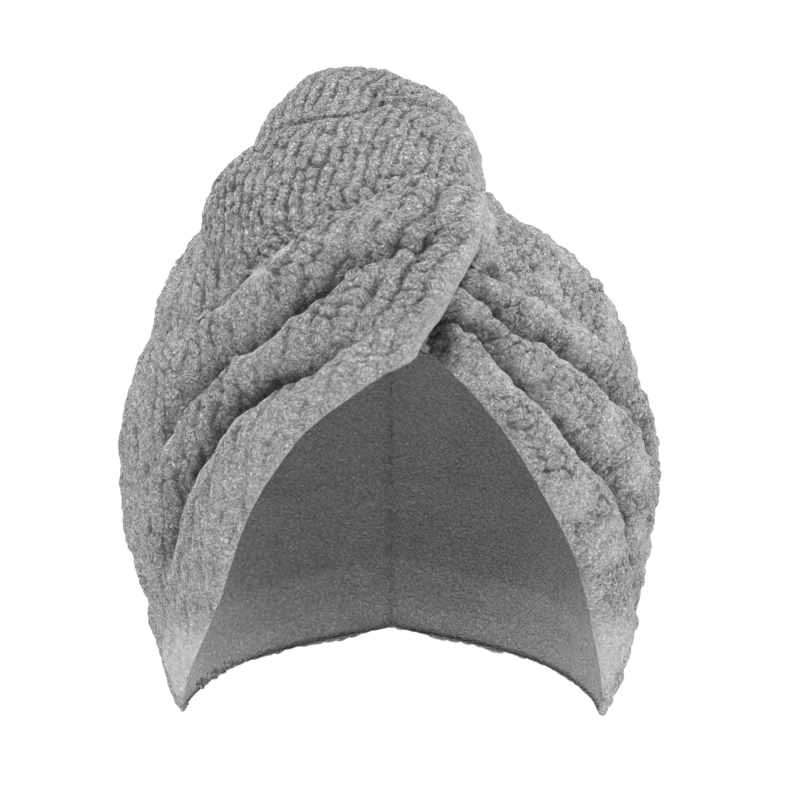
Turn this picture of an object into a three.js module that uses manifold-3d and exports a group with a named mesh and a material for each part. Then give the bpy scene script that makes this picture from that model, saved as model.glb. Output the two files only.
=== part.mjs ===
// A towel turban as it is worn: a hood in two halves that sweep up to a knot over the brow,
// a twisted tail laid back over the crown, an elastic loop at its tip and a button at the nape.
// Millimetres, +Z up, the brow faces -Y. The origin is where the crown of the head touches.

import * as THREE from 'three';
import * as BufferGeometryUtils from 'three/addons/utils/BufferGeometryUtils.js';
import Module from 'manifold-3d';

const wasm = await Module();
wasm.setup();

// The head that the hood sits on: an ellipsoid above its widest level, drawn in below it.
const HEAD = {
  halfWidth: 82,
  front: 92,
  back: 94,
  crown: 98,
  widestZ: -98,
  lowerHeight: 82,
  taper: 0.2,
  taperPower: 1.35,
};

const GAP = 0.3;
const CUT_GAP = 0.5;
const SEAM_GAP = 0.4;
// The hood is filled this far below the head's surface where it hollows the tail's underside.
const FILL = 30;

// Cloth of the hood: how far its inside follows the folds, and how its edges turn.
const INSIDE_FOLLOWS = 0.4;
const BAND_CREST = 1.3;
const BAND_ROUNDNESS = 0.65;
const HEM = { inside: 1.6, share: 0.5, steps: 3, drop: 4 };
// Towards its lowest points the cloth thins to a single rolled hem and hangs clear of the head.
const POINTS = { from: -35, full: -76, inside: 4.5 };
// The seam over the crown and down the nape draws the cloth in beside it.
const SEAM = { dip: 3, width: 7, aboveHeight: 100, behindAzimuth: 90 };

// Rows of the mesh in each band, from the rim to the crown, and columns round each half.
const BAND_ROWS = [5, 5, 5, 4, 5];
const LEFT_COLUMNS = 44;
const RIGHT_COLUMNS = 36;
// Columns crowd towards the knot by this power.
const CROWDING = 1.5;
// Azimuths at which the values named for front, side and back hold in full.
const QUARTERS = { front: 25, side: 85, sideEnds: 95, back: 150 };

// The hood stands off the head where hair is bundled: one rise behind the knot, one on the side.
const LEFT_RISES = [
  { height: 21, azimuth: 4, azimuthSpread: 44, from: 30, full: 78, fade: 82, gone: 126 },
  { height: 6, azimuth: -85, azimuthSpread: 50, from: 25, full: 70, fade: 80, gone: 125 },
  { height: 3, azimuth: -70, azimuthSpread: 34, from: 60, full: 92, fade: 98, gone: 140 },
];
const RIGHT_RISES = [
  { height: 12, azimuth: 8, azimuthSpread: 29, from: 30, full: 78, fade: 92, gone: 150 },
];

// Fold tables. Each row is one crease line of the hood, from the rim up: its height along the
// head above the widest level at each named azimuth (0 brow, 90 right, -90 left, 180 nape),
// where it ends in front, and how far crease and the band above it stand off the head.
const LEFT_AZIMUTHS = [-180, -140, -110, -90, -75, -60, -45, -30, -15, 0, 10, 22];
const LEFT_FOLDS = [
  {
    name: 'rim', end: 6,
    heights: [-54, -65, -75, -79, -73, -60, -39.5, -5.5, 23, 39.5, 44.5, 46],
    crease: { front: 5.5, side: 7, back: 6.5 },
    band: { front: 11, side: 9.5, back: 9.5 },
  },
  {
    name: 'lower_sweep', end: 10,
    heights: [-30, -42, -54, -57, -52, -31, 3, 25, 38, 47, 52, 54],
    crease: { front: 5.5, side: 9, back: 8 },
    band: { front: 12.5, side: 12, back: 10.5 },
  },
  {
    name: 'middle_sweep', end: 19,
    heights: [-2, -12, -22, -22, -11, 5, 30, 44, 56, 65.5, 68, 70],
    crease: { front: 5, side: 11, back: 8.5 },
    band: { front: 14, side: 13.5, back: 11.5 },
  },
  {
    name: 'upper_sweep', end: 24,
    heights: [48, 45, 47, 50, 50, 51, 54, 65, 75, 83, 86, 87],
    crease: { front: 8, side: 8.5, back: 9 },
    band: { front: 11, side: 12, back: 11 },
  },
  {
    name: 'dome', end: 0,
    heights: [96, 92, 90, 90, 91, 92, 94, 98, 102, 106, 108, 109],
    crease: { front: 10, side: 11.5, back: 10.5 },
    band: { front: 11, side: 11.5, back: 11 },
  },
];
const RIGHT_AZIMUTHS = [0, 6, 15, 25, 35, 45, 55, 65, 75, 90, 110, 140, 180];
const RIGHT_FOLDS = [
  {
    name: 'rim', end: 4,
    heights: [44.5, 44.5, 36, 17.5, -3.5, -20.5, -37.5, -56, -69, -79, -75, -65, -54],
    crease: { front: 5.5, side: 9, back: 6.5 },
    band: { front: 11, side: 12, back: 9.5 },
  },
  {
    name: 'brow_fold', end: 5,
    heights: [58, 57, 51, 35, 21, 7, -4, -20, -36, -50, -52, -42, -30],
    crease: { front: 5.5, side: 8.5, back: 8 },
    band: { front: 13, side: 12, back: 10.5 },
  },
  {
    name: 'temple_fold', end: 4,
    heights: [66, 64, 60, 51.5, 46, 38, 30, 22, 9, -6, -12, -8, -2],
    crease: { front: 5.5, side: 9.5, back: 8.5 },
    band: { front: 12, side: 12.5, back: 11 },
  },
  {
    name: 'upper_fold', end: 2,
    heights: [75, 73, 69, 65, 60, 55, 48.5, 41, 34, 27, 26, 34, 48],
    crease: { front: 7.5, side: 9.5, back: 9 },
    band: { front: 10.5, side: 11.5, back: 11 },
  },
  {
    name: 'dome', end: 0,
    heights: [100, 100, 99, 97, 95, 93, 92, 91, 90, 90, 90, 92, 96],
    crease: { front: 8, side: 9.5, back: 10 },
    band: { front: 8, side: 9.5, back: 10.5 },
  },
];
const POLE_LIFT = 10.5;

// The left half laps over the right one at the knot: its end is rolled and stands clear.
const LAP = { from: -8, full: 6, clearance: 5, roll: 12, depth: 0.9, nearEnd: 4, farEnd: 12 };
// The right half starts low under the lap and rises out of it.
const START = { lift: 2.6, rise: 15 };

// The twisted tail over the crown. Each row is one section, a plane through a line across the
// head at PIVOT_Z, turned by the angle "over" from the brow (0) over the crown (90) to the nape.
const PIVOT_Z = -70;
const TAIL_SECTIONS = [
  { over: 20, x: 12, reach: 76, left: 30, right: 14, height: 10, sink: 8 },
  { over: 28, x: 14, reach: 76, left: 60, right: 18, height: 24, sink: 14 },
  { over: 36, x: 12, reach: 73, left: 69, right: 23, height: 37, sink: 20 },
  { over: 45, x: 5, reach: 76, left: 68, right: 31, height: 39.5, sink: 24 },
  { over: 55, x: -4, reach: 80, left: 60, right: 38, height: 40, sink: 26 },
  { over: 65, x: -8, reach: 78, left: 47, right: 41, height: 42, sink: 26 },
  { over: 76, x: -9, reach: 76, left: 41, right: 41, height: 42.5, sink: 24 },
  { over: 90, x: -8, reach: 76, left: 40, right: 40, height: 40, sink: 22 },
  { over: 106, x: -8, reach: 76, left: 40, right: 40, height: 36.5, sink: 22 },
  { over: 126, x: -6, reach: 81, left: 38, right: 38, height: 31, sink: 22 },
  { over: 146, x: -3, reach: 87, left: 34, right: 34, height: 26, sink: 22 },
  { over: 166, x: -1, reach: 96, left: 28, right: 28, height: 21, sink: 20 },
  { over: 183, x: 0, reach: 106, left: 22, right: 22, height: 16, sink: 18 },
  { over: 196, x: 0, reach: 112, left: 14, right: 14, height: 11.5, sink: 14 },
  { over: 203, x: 0, reach: 115, left: 8, right: 8, height: 7, sink: 10 },
];
const TAIL_RINGS = 46;
const TAIL_SIDES = 28;
// Creases of the twist, each one a turn further along the tail than the last.
const TWIST = {
  first: 57,
  spacing: 36,
  count: 4,
  level: 100,
  rightLean: 0.25,
  leftLean: 0.08,
  width: 15,
  depth: 0.15,
};

// Button and loop at the nape, in a frame of their own that leans with the cloth there.
const NAPE = { z: -136, lean: 13.2, clearance: 0.6 };
const BUTTON = {
  radius: 11,
  thickness: 3.6,
  rimRadius: 1.4,
  shankRadius: 4,
  shankLength: 4.6,
  sides: 20,
  cornerSteps: 3,
};
const LOOP = { radius: 1.5, quarterSides: 2, steps: 34, legs: 24, clearance: 0.45 };

const lerp = THREE.MathUtils.lerp;
const smooth = (x, from, to) => THREE.MathUtils.smoothstep(x, Math.min(from, to), Math.max(from, to));
const radians = THREE.MathUtils.degToRad;

// Value at x of a curve through (xs, ys) that never overshoots its points.
function curveAt(xs, ys, x) {
  const last = xs.length - 1;
  if (x <= xs[0]) return ys[0];
  if (x >= xs[last]) return ys[last];
  let i = 0;
  while (x > xs[i + 1]) i += 1;
  const slope = (k) => (ys[k + 1] - ys[k]) / (xs[k + 1] - xs[k]);
  const tangent = (k) => {
    if (k === 0) return slope(0);
    if (k === last) return slope(last - 1);
    const before = slope(k - 1);
    const after = slope(k);
    return before * after <= 0 ? 0 : (2 * before * after) / (before + after);
  };
  const width = xs[i + 1] - xs[i];
  const t = (x - xs[i]) / width;
  const t2 = t * t;
  const t3 = t2 * t;
  return (2 * t3 - 3 * t2 + 1) * ys[i] + (t3 - 2 * t2 + t) * width * tangent(i)
    + (3 * t2 - 2 * t3) * ys[i + 1] + (t3 - t2) * width * tangent(i + 1);
}

// Point on the head at an azimuth and a height along it, with its outward normal.
function headAt(azimuth, height) {
  const sin = Math.sin(radians(azimuth));
  const cos = Math.cos(radians(azimuth));
  const depth = cos > 0 ? HEAD.front : HEAD.back;
  const round = 1 / Math.hypot(sin / HEAD.halfWidth, cos / depth);
  let girth;
  let z;
  let lean;
  if (height >= 0) {
    const angle = Math.min(height / HEAD.crown, Math.PI / 2);
    girth = Math.cos(angle);
    z = HEAD.crown * Math.sin(angle);
    lean = z / HEAD.crown ** 2;
  } else {
    const down = -height / HEAD.lowerHeight;
    girth = 1 - HEAD.taper * down ** HEAD.taperPower;
    z = height;
    lean = -girth * HEAD.taper * HEAD.taperPower * down ** (HEAD.taperPower - 1) / HEAD.lowerHeight;
  }
  const x = round * girth * sin;
  const y = -round * girth * cos;
  const normal = new THREE.Vector3(x / HEAD.halfWidth ** 2, y / depth ** 2, lean).normalize();
  return { point: new THREE.Vector3(x, y, HEAD.widestZ + z), normal, reach: round * girth };
}

// A value named for front, side and back, blended by azimuth.
function round3(values, azimuth) {
  const away = Math.abs(azimuth);
  const ahead = lerp(values.front, values.side, smooth(away, QUARTERS.front, QUARTERS.side));
  return lerp(ahead, values.back, smooth(away, QUARTERS.sideEnds, QUARTERS.back));
}

function riseAt(rises, azimuth, height) {
  return rises.reduce((sum, rise) => {
    const across = Math.exp(-(((azimuth - rise.azimuth) / rise.azimuthSpread) ** 2));
    const up = smooth(height, rise.from, rise.full) * (1 - smooth(height, rise.fade, rise.gone));
    return sum + rise.height * across * up;
  }, 0);
}

// The crown is the last fold: every column of a half meets there.
const CROWN_HEIGHT = HEAD.crown * Math.PI / 2;

// One row of a half's mesh: the band it is in and how far up that band.
function bandRows() {
  return BAND_ROWS.flatMap((count, band) => (
    Array.from({ length: count }, (_, i) => ({ band, t: i / count }))
  ));
}

const LEFT = {
  side: -1, azimuths: LEFT_AZIMUTHS, folds: LEFT_FOLDS, rises: LEFT_RISES, columns: LEFT_COLUMNS,
};
const RIGHT = {
  side: 1, azimuths: RIGHT_AZIMUTHS, folds: RIGHT_FOLDS, rises: RIGHT_RISES, columns: RIGHT_COLUMNS,
};

// Where a row of a half stands at a share s of the way round from the nape seam to the knot.
function rowAt(half, row, s) {
  const lower = half.folds[row.band];
  const upper = half.folds[row.band + 1];
  const end = lerp(lower.end, upper ? upper.end : 0, row.t);
  const round = 1 - (1 - s) ** CROWDING;
  const azimuth = lerp(half.side * 180, end, round);
  const bottom = curveAt(half.azimuths, lower.heights, azimuth);
  const top = upper ? curveAt(half.azimuths, upper.heights, azimuth) : CROWN_HEIGHT;
  const height = lerp(bottom, top, row.t);
  const creaseBelow = round3(lower.crease, azimuth);
  const creaseAbove = upper ? round3(upper.crease, azimuth) : POLE_LIFT;
  const crease = lerp(creaseBelow, creaseAbove, row.t);
  const full = Math.sin(Math.PI * row.t ** BAND_CREST) ** BAND_ROUNDNESS;
  const fold = (round3(lower.band, azimuth) - crease) * full;
  return { azimuth, end, height, crease, fold };
}

// Outside and inside of a half at one row and column, as offsets from the head.
function wallAt(half, row, s) {
  const at = rowAt(half, row, s);
  const { point, normal, reach } = headAt(at.azimuth, at.height);
  const rise = riseAt(half.rises, at.azimuth, at.height);
  const bySeam = at.height > SEAM.aboveHeight || Math.abs(at.azimuth) > SEAM.behindAzimuth;
  const seam = bySeam ? SEAM.dip * Math.exp(-((point.x / SEAM.width) ** 2)) : 0;
  let outside = at.crease + at.fold - seam;
  let inside = INSIDE_FOLLOWS * at.fold;
  inside += POINTS.inside * (1 - smooth(at.height, POINTS.full, POINTS.from));
  if (row.band === 0) inside += HEM.inside * (1 - smooth(row.t, 0, HEM.share));
  const fromEnd = Math.max(radians(Math.abs(at.azimuth - at.end)) * reach, 0);
  const onLap = smooth(at.end, 0, LAP.nearEnd);
  if (half.side < 0 && onLap > 0) {
    const lapping = smooth(at.end, LAP.nearEnd, LAP.farEnd) * smooth(at.azimuth, LAP.from, LAP.full);
    const clear = LAP.clearance * lapping;
    inside += clear;
    outside += clear;
    const edge = Math.min(fromEnd / LAP.roll, 1);
    const turned = Math.sqrt(1 - (1 - edge) ** 2);
    const shrink = lerp(1 - LAP.depth, 1, turned);
    outside = lerp(outside, inside + (outside - inside) * shrink, onLap);
  }
  if (half.side > 0) {
    const risen = smooth(fromEnd, 0, START.rise);
    outside = lerp(START.lift, outside, lerp(1, risen, onLap));
    inside *= lerp(1, risen, onLap);
  }
  return { point, normal, outside: outside + rise, inside: inside + rise };
}

function solidOf(geometry) {
  const bare = geometry.index ? geometry.clone() : BufferGeometryUtils.mergeVertices(geometry);
  bare.deleteAttribute('normal');
  bare.deleteAttribute('uv');
  const merged = BufferGeometryUtils.mergeVertices(bare, 1e-4);
  const mesh = new wasm.Mesh({
    numProp: 3,
    vertProperties: Float32Array.from(merged.attributes.position.array),
    triVerts: Uint32Array.from(merged.index.array),
  });
  mesh.merge();
  return new wasm.Manifold(mesh);
}

// The largest body of a solid as a geometry: slivers that a cut leaves are dropped.
function geometryOf(solid) {
  const bodies = solid.decompose();
  const main = bodies.reduce((a, b) => (b.volume() > a.volume() ? b : a));
  const mesh = main.getMesh();
  const geometry = new THREE.BufferGeometry();
  geometry.setAttribute('position', new THREE.BufferAttribute(mesh.vertProperties, mesh.numProp));
  geometry.setIndex(new THREE.BufferAttribute(mesh.triVerts, 1));
  geometry.computeVertexNormals();
  return geometry;
}

function geometryFrom(points, triangles) {
  const geometry = new THREE.BufferGeometry();
  const numbers = points.flatMap((p) => [p.x, p.y, p.z]);
  geometry.setAttribute('position', new THREE.Float32BufferAttribute(numbers, 3));
  geometry.setIndex(triangles);
  return geometry;
}

// The same closed surface pushed out along its normals, to cut its neighbours with a gap.
function swollen(geometry, by) {
  const grown = geometry.clone();
  grown.computeVertexNormals();
  const { position, normal } = grown.attributes;
  const place = new THREE.Vector3();
  const out = new THREE.Vector3();
  for (let i = 0; i < position.count; i += 1) {
    place.fromBufferAttribute(position, i);
    out.fromBufferAttribute(normal, i);
    place.addScaledVector(out, by);
    position.setXYZ(i, place.x, place.y, place.z);
  }
  return grown;
}

// One half of the hood as a closed shell. "fill" puts its inside that far under the head's
// surface instead, to cut away whatever lies within it.
function hoodHalf(half, fill = null) {
  const rows = bandRows();
  const { columns } = half;
  const points = [];
  const outer = [];
  const inner = [];
  const hem = [];
  const shift = half.side * SEAM_GAP / 2;
  const add = (point) => {
    points.push(new THREE.Vector3(point.x + shift, point.y, point.z));
    return points.length - 1;
  };
  const along = (i) => (half.side < 0 ? i / columns : 1 - i / columns);
  for (let i = 0; i <= columns; i += 1) {
    outer.push([]);
    inner.push([]);
    hem.push([]);
    rows.forEach((row, j) => {
      const wall = wallAt(half, row, along(i));
      const out = wall.outside;
      const within = fill === null ? wall.inside : -fill;
      outer[i].push(add(wall.point.clone().addScaledVector(wall.normal, out)));
      if (j % 2 === 0) inner[i].push(add(wall.point.clone().addScaledVector(wall.normal, within)));
      if (j > 0) return;
      const middle = (out + within) / 2;
      const reach = (out - within) / 2;
      for (let k = 1; k < HEM.steps; k += 1) {
        const turn = Math.PI * k / HEM.steps;
        const place = wall.point.clone().addScaledVector(wall.normal, middle + reach * Math.cos(turn));
        place.z -= Math.min(reach, HEM.drop) * Math.sin(turn);
        hem[i].push(add(place));
      }
    });
  }
  const crown = headAt(0, CROWN_HEIGHT).point;
  const top = add(crown.clone().setZ(POLE_LIFT - SEAM.dip));
  const under = add(crown.clone().setZ(fill === null ? 0 : -fill));
  const chain = (i) => [...inner[i]].reverse().concat([...hem[i]].reverse(), outer[i]);
  const triangles = [];
  for (let i = 0; i < columns; i += 1) {
    const here = chain(i);
    const next = chain(i + 1);
    for (let k = 0; k + 1 < here.length; k += 1) {
      triangles.push(here[k], next[k], next[k + 1], here[k], next[k + 1], here[k + 1]);
    }
    const last = here.length - 1;
    triangles.push(here[last], next[last], top, under, next[0], here[0]);
  }
  // A cut end joins outside to inside. "turned" lists it the other way round, for the far end.
  const closeEnd = (i, turned) => {
    const put = (a, b, c) => triangles.push(...(turned ? [a, c, b] : [a, b, c]));
    const outside = [...outer[i], top];
    const inside = [...inner[i], under];
    for (let k = 0; k + 1 < inside.length; k += 1) {
      const [a, b, c] = outside.slice(2 * k, 2 * k + 3);
      put(a, b, inside[k]);
      put(b, inside[k + 1], inside[k]);
      put(b, c, inside[k + 1]);
    }
    const edge = [inside[0], ...[...hem[i]].reverse()];
    for (let k = 0; k + 1 < edge.length; k += 1) put(edge[k], edge[k + 1], outside[0]);
  };
  closeEnd(0, false);
  closeEnd(columns, true);
  return geometryFrom(points, triangles);
}

// A named size of the tail's section, between the rows of its table.
function tailSize(name, over) {
  const overs = TAIL_SECTIONS.map((row) => row.over);
  return curveAt(overs, TAIL_SECTIONS.map((row) => row[name]), over);
}

// How deep the twist's creases cut at a place on the tail, as a share of its width.
function twistDepth(over, around) {
  const lean = around < TWIST.level
    ? TWIST.rightLean * (TWIST.level - around) : TWIST.leftLean * (around - TWIST.level);
  let depth = 0;
  for (let k = 0; k < TWIST.count; k += 1) {
    const away = Math.abs(over - (TWIST.first + TWIST.spacing * k + lean)) / TWIST.width;
    depth = Math.max(depth, 1 - Math.sqrt(Math.min(away, 1) * (2 - Math.min(away, 1))));
  }
  return TWIST.depth * depth;
}

// Point on the tail at the angle over the head and the angle around its own section.
function tailAt(over, around) {
  const cut = 1 - twistDepth(over, around);
  const sine = Math.sin(radians(around));
  const cosine = Math.cos(radians(around));
  const width = tailSize(cosine > 0 ? 'right' : 'left', over) * cut;
  const height = (sine > 0 ? tailSize('height', over) * cut : tailSize('sink', over)) * sine;
  const reach = tailSize('reach', over) + height;
  return new THREE.Vector3(
    tailSize('x', over) + width * cosine,
    -reach * Math.cos(radians(over)),
    PIVOT_Z + reach * Math.sin(radians(over)),
  );
}

function tailSolid() {
  const first = TAIL_SECTIONS[0].over;
  const last = TAIL_SECTIONS[TAIL_SECTIONS.length - 1].over;
  const points = [];
  const triangles = [];
  for (let i = 0; i <= TAIL_RINGS; i += 1) {
    const over = lerp(first, last, i / TAIL_RINGS);
    for (let k = 0; k < TAIL_SIDES; k += 1) {
      points.push(tailAt(over, -90 + 360 * k / TAIL_SIDES));
    }
  }
  const at = (i, k) => i * TAIL_SIDES + (k % TAIL_SIDES);
  for (let i = 0; i < TAIL_RINGS; i += 1) {
    for (let k = 0; k < TAIL_SIDES; k += 1) {
      triangles.push(at(i, k), at(i + 1, k + 1), at(i, k + 1));
      triangles.push(at(i, k), at(i + 1, k), at(i + 1, k + 1));
    }
  }
  const centre = (ring) => {
    const sum = new THREE.Vector3();
    for (let k = 0; k < TAIL_SIDES; k += 1) sum.add(points[at(ring, k)]);
    points.push(sum.divideScalar(TAIL_SIDES));
    return points.length - 1;
  };
  const front = centre(0);
  const back = centre(TAIL_RINGS);
  for (let k = 0; k < TAIL_SIDES; k += 1) {
    triangles.push(front, at(0, k), at(0, k + 1), back, at(TAIL_RINGS, k + 1), at(TAIL_RINGS, k));
  }
  return geometryFrom(points, triangles);
}

// How far back the hood's outside reaches beside the nape seam, at a given height.
function napeY(z) {
  const places = bandRows().map((row) => {
    const wall = wallAt(LEFT, row, 0);
    return wall.point.clone().addScaledVector(wall.normal, wall.outside + SEAM.dip);
  });
  return curveAt(places.map((place) => place.z), places.map((place) => place.y), z);
}

// A flat round button on a shank, turned about its own axis, which points away from the nape.
function buttonGeometry() {
  const { radius, thickness, rimRadius, shankRadius, shankLength, cornerSteps } = BUTTON;
  const profile = [new THREE.Vector2(0, 0), new THREE.Vector2(shankRadius, 0)];
  profile.push(new THREE.Vector2(shankRadius, shankLength));
  const corner = (x, y, from) => {
    for (let k = 0; k <= cornerSteps; k += 1) {
      const turn = from + (Math.PI / 2) * (k / cornerSteps);
      profile.push(new THREE.Vector2(x + rimRadius * Math.cos(turn), y + rimRadius * Math.sin(turn)));
    }
  };
  corner(radius - rimRadius, shankLength + rimRadius, -Math.PI / 2);
  corner(radius - rimRadius, shankLength + thickness - rimRadius, 0);
  profile.push(new THREE.Vector2(0, shankLength + thickness));
  return new THREE.LatheGeometry(profile, BUTTON.sides);
}

// The loop: two legs down from the tail's tip and a half turn under the button's shank.
function loopGeometry(grow = 0) {
  const bend = BUTTON.shankRadius + LOOP.radius + LOOP.clearance;
  const away = LOOP.radius + LOOP.clearance;
  const route = new THREE.CurvePath();
  route.add(new THREE.LineCurve3(
    new THREE.Vector3(-bend, away, LOOP.legs),
    new THREE.Vector3(-bend, away, 0),
  ));
  const turn = new THREE.Curve();
  turn.getPoint = (t) => new THREE.Vector3(
    -bend * Math.cos(Math.PI * t), away, -bend * Math.sin(Math.PI * t),
  );
  route.add(turn);
  route.add(new THREE.LineCurve3(
    new THREE.Vector3(bend, away, 0),
    new THREE.Vector3(bend, away, LOOP.legs),
  ));
  const section = new THREE.Shape();
  section.absarc(0, 0, LOOP.radius + grow, 0, 2 * Math.PI);
  return new THREE.ExtrudeGeometry(section, {
    steps: LOOP.steps, curveSegments: 2 * LOOP.quarterSides, extrudePath: route,
  });
}

// The button and the loop share a frame on the nape: its Y axis points straight out of the cloth.
const nape = new THREE.Group();
nape.position.set(0, napeY(NAPE.z) + NAPE.clearance, NAPE.z);
nape.rotation.x = -radians(NAPE.lean);
nape.updateMatrixWorld(true);

function cloth(color) {
  return new THREE.MeshStandardMaterial({ color, roughness: 0.95, metalness: 0 });
}

function named(name, geometry, material) {
  const mesh = new THREE.Mesh(geometry, material);
  mesh.name = name;
  return mesh;
}

const leftGeometry = hoodHalf(LEFT);
const rightSolid = solidOf(hoodHalf(RIGHT)).subtract(solidOf(swollen(leftGeometry, CUT_GAP)));
const loopCut = loopGeometry(GAP).applyMatrix4(nape.matrixWorld);
const tail = solidOf(tailSolid())
  .subtract(solidOf(swollen(hoodHalf(LEFT, FILL), CUT_GAP)))
  .subtract(solidOf(swollen(hoodHalf(RIGHT, FILL), CUT_GAP)))
  .subtract(solidOf(swollen(leftGeometry, CUT_GAP)))
  .subtract(solidOf(loopCut));

const turban = new THREE.Group();
turban.add(named('left_panel', leftGeometry, cloth(0x939393)));
turban.add(named('right_panel', geometryOf(rightSolid), cloth(0x939393)));
turban.add(named('twisted_tail', geometryOf(tail), cloth(0x939393)));
nape.add(named('nape_button', buttonGeometry(), new THREE.MeshStandardMaterial({
  color: 0x7c7c7e, roughness: 0.45, metalness: 0,
})));
nape.add(named('elastic_loop', loopGeometry(), new THREE.MeshStandardMaterial({
  color: 0x8a8a8c, roughness: 0.8, metalness: 0,
})));
turban.add(nape);

export default turban;
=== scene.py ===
"""A towelling hair turban in its worn shape: its cloth, its fastening and the studio round it.

A surface is worked out in millimetres and becomes a mesh in metres, in the frame's own axes:
+Z up, the brow towards -Y, +X to the right of a viewer who faces the brow.
"""
import logging
import math
from dataclasses import dataclass, replace
from enum import Enum

import bpy
import numpy as np
from mathutils import Matrix, Vector
from mathutils.bvhtree import BVHTree


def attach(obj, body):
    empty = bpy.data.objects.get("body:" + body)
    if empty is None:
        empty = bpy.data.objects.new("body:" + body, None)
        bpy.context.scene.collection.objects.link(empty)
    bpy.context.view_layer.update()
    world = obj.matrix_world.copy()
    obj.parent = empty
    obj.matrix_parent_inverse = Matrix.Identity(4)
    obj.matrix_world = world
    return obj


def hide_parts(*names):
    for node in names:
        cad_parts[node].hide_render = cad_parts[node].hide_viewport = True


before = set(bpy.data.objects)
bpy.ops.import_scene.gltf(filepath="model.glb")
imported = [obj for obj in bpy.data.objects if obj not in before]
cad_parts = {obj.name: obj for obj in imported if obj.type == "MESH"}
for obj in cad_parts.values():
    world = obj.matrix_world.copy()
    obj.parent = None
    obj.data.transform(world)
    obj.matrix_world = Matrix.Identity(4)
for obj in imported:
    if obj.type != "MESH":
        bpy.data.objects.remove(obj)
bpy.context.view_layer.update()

Array = np.ndarray
Colour = tuple[float, float, float]
Span = tuple[float, float]

MM = 0.001
log = logging.getLogger("turban")


class Side(Enum):
    """Which half of the hood, as the sign of X on its side."""

    LEFT = -1
    RIGHT = 1


def smooth(x: Array, start: float, end: float) -> Array:
    """Rises from 0 at start to 1 at end without a corner.

    Args:
        x: Places to take the value at.
        start: Where the rise begins.
        end: Where it is complete.

    Returns:
        Values from 0 to 1.
    """
    share = np.clip((x - start) / (end - start), 0.0, 1.0)
    return share * share * (3.0 - 2.0 * share)


def mix(a: Array, b: Array, share: Array) -> Array:
    """The value that lies at a share of the way from a to b."""
    return a + (b - a) * share


def hump(x: Array, middle: float, width: float) -> Array:
    """A soft hump that is 1 at its middle and falls away to both sides."""
    return np.exp(-(((x - middle) / width) ** 2))


def rounded(away: Array, radius: float) -> Array:
    """The height of a quarter round, as a share: 0 at its edge and 1 from its radius on."""
    return np.sqrt(1 - (1 - np.minimum(away / radius, 1)) ** 2)


def softened(pile: Array, calm: Array, share: float) -> Array:
    """The pile's height as the colour uses it for painted shade in the gaps, with paler gaps where it lies
    brushed.
    """
    return 1 - (1 - pile) * (1 - share * calm)


def curve_through(xs: tuple[float, ...], ys: tuple[float, ...], x: Array) -> Array:
    """Follows a curve through given points that never overshoots them.

    Args:
        xs: Places of the points, rising.
        ys: Values at the points.
        x: Places to read the curve at.

    Returns:
        The curve's value at each x, held level past both ends.
    """
    places = np.asarray(xs, float)
    values = np.asarray(ys, float)
    widths = np.diff(places)
    slopes = np.diff(values) / widths
    before, after = slopes[:-1], slopes[1:]
    level = before * after <= 0
    tangents = np.concatenate((slopes[:1], np.zeros(len(before)), slopes[-1:]))
    total = np.where(level, 1.0, before + after)
    tangents[1:-1] = np.where(level, 0.0, 2.0 * before * after / total)
    x = np.clip(x, places[0], places[-1])
    i = np.clip(np.searchsorted(places, x, side="right") - 1, 0, len(widths) - 1)
    t = (x - places[i]) / widths[i]
    t2, t3 = t * t, t * t * t
    return (
        (2 * t3 - 3 * t2 + 1) * values[i]
        + (t3 - 2 * t2 + t) * widths[i] * tangents[i]
        + (3 * t2 - 2 * t3) * values[i + 1]
        + (t3 - t2) * widths[i] * tangents[i + 1]
    )


@dataclass(frozen=True)
class Wander:
    """How the crease lines stray from a smooth course, by three waves, less towards the nape."""

    size: float = 0.9
    shares: tuple[float, float, float] = (1.0, 0.6, 0.45)
    lengths: tuple[float, float, float] = (4.3, 2.2, 1.1)
    phases: tuple[float, float, float] = (2.1, 5.3, 3.7)
    fade: Span = (60, 100)

    def at(self, line: int, azimuth: Array) -> Array:
        """How far a crease line strays up or down; the rim, which is line 0, doesn't.

        Args:
            line: Number of the line, counted from the rim.
            azimuth: Degrees round the head.

        Returns:
            The distance in millimetres.
        """
        if line == 0:
            return np.zeros(np.shape(azimuth))
        turns = [azimuth / length + phase * line for length, phase in zip(self.lengths, self.phases)]
        stray = self.shares[0] * np.sin(turns[0]) + self.shares[1] * np.sin(turns[1])
        stray += self.shares[2] * np.sin(turns[2] + stray)
        return self.size * stray * (1 - smooth(np.abs(azimuth), *self.fade))


def grid_normals(points: Array, wrap: bool = False) -> Array:
    """Works out the unit normals of a grid of points.

    Args:
        points: Array of rows by columns by 3.
        wrap: True where the last column meets the first.

    Returns:
        An array of the same shape, across rows then columns.
    """
    up = np.gradient(points, axis=0)
    if wrap:
        along = (np.roll(points, -1, axis=1) - np.roll(points, 1, axis=1)) / 2
    else:
        along = np.gradient(points, axis=1)
    normal = np.cross(along, up)
    size = np.linalg.norm(normal, axis=2, keepdims=True)
    return normal / np.maximum(size, 1e-9)


def slow_waves(points: Array, length: float, seed: int) -> Array:
    """Smooth unevenness that varies through space, as cloth that nobody pulled flat has.

    Args:
        points: Array of points in millimetres, 3 in its last axis.
        length: Usual distance from one crest to the next, in millimetres.
        seed: Which of the many possible patterns.

    Returns:
        Values from about -1 to 1.
    """
    rng = np.random.default_rng(seed)
    total = np.zeros(points.shape[:-1])
    count, shortest, longest, steadiness = 7, 0.7, 1.5, 1.4
    for _ in range(count):
        direction = rng.normal(size=3)
        span = length * rng.uniform(shortest, longest)
        direction *= 2 * math.pi / (span * np.linalg.norm(direction))
        total += np.sin(points @ direction + rng.uniform(0, 2 * math.pi))
    return total / math.sqrt(count / steadiness)


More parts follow.
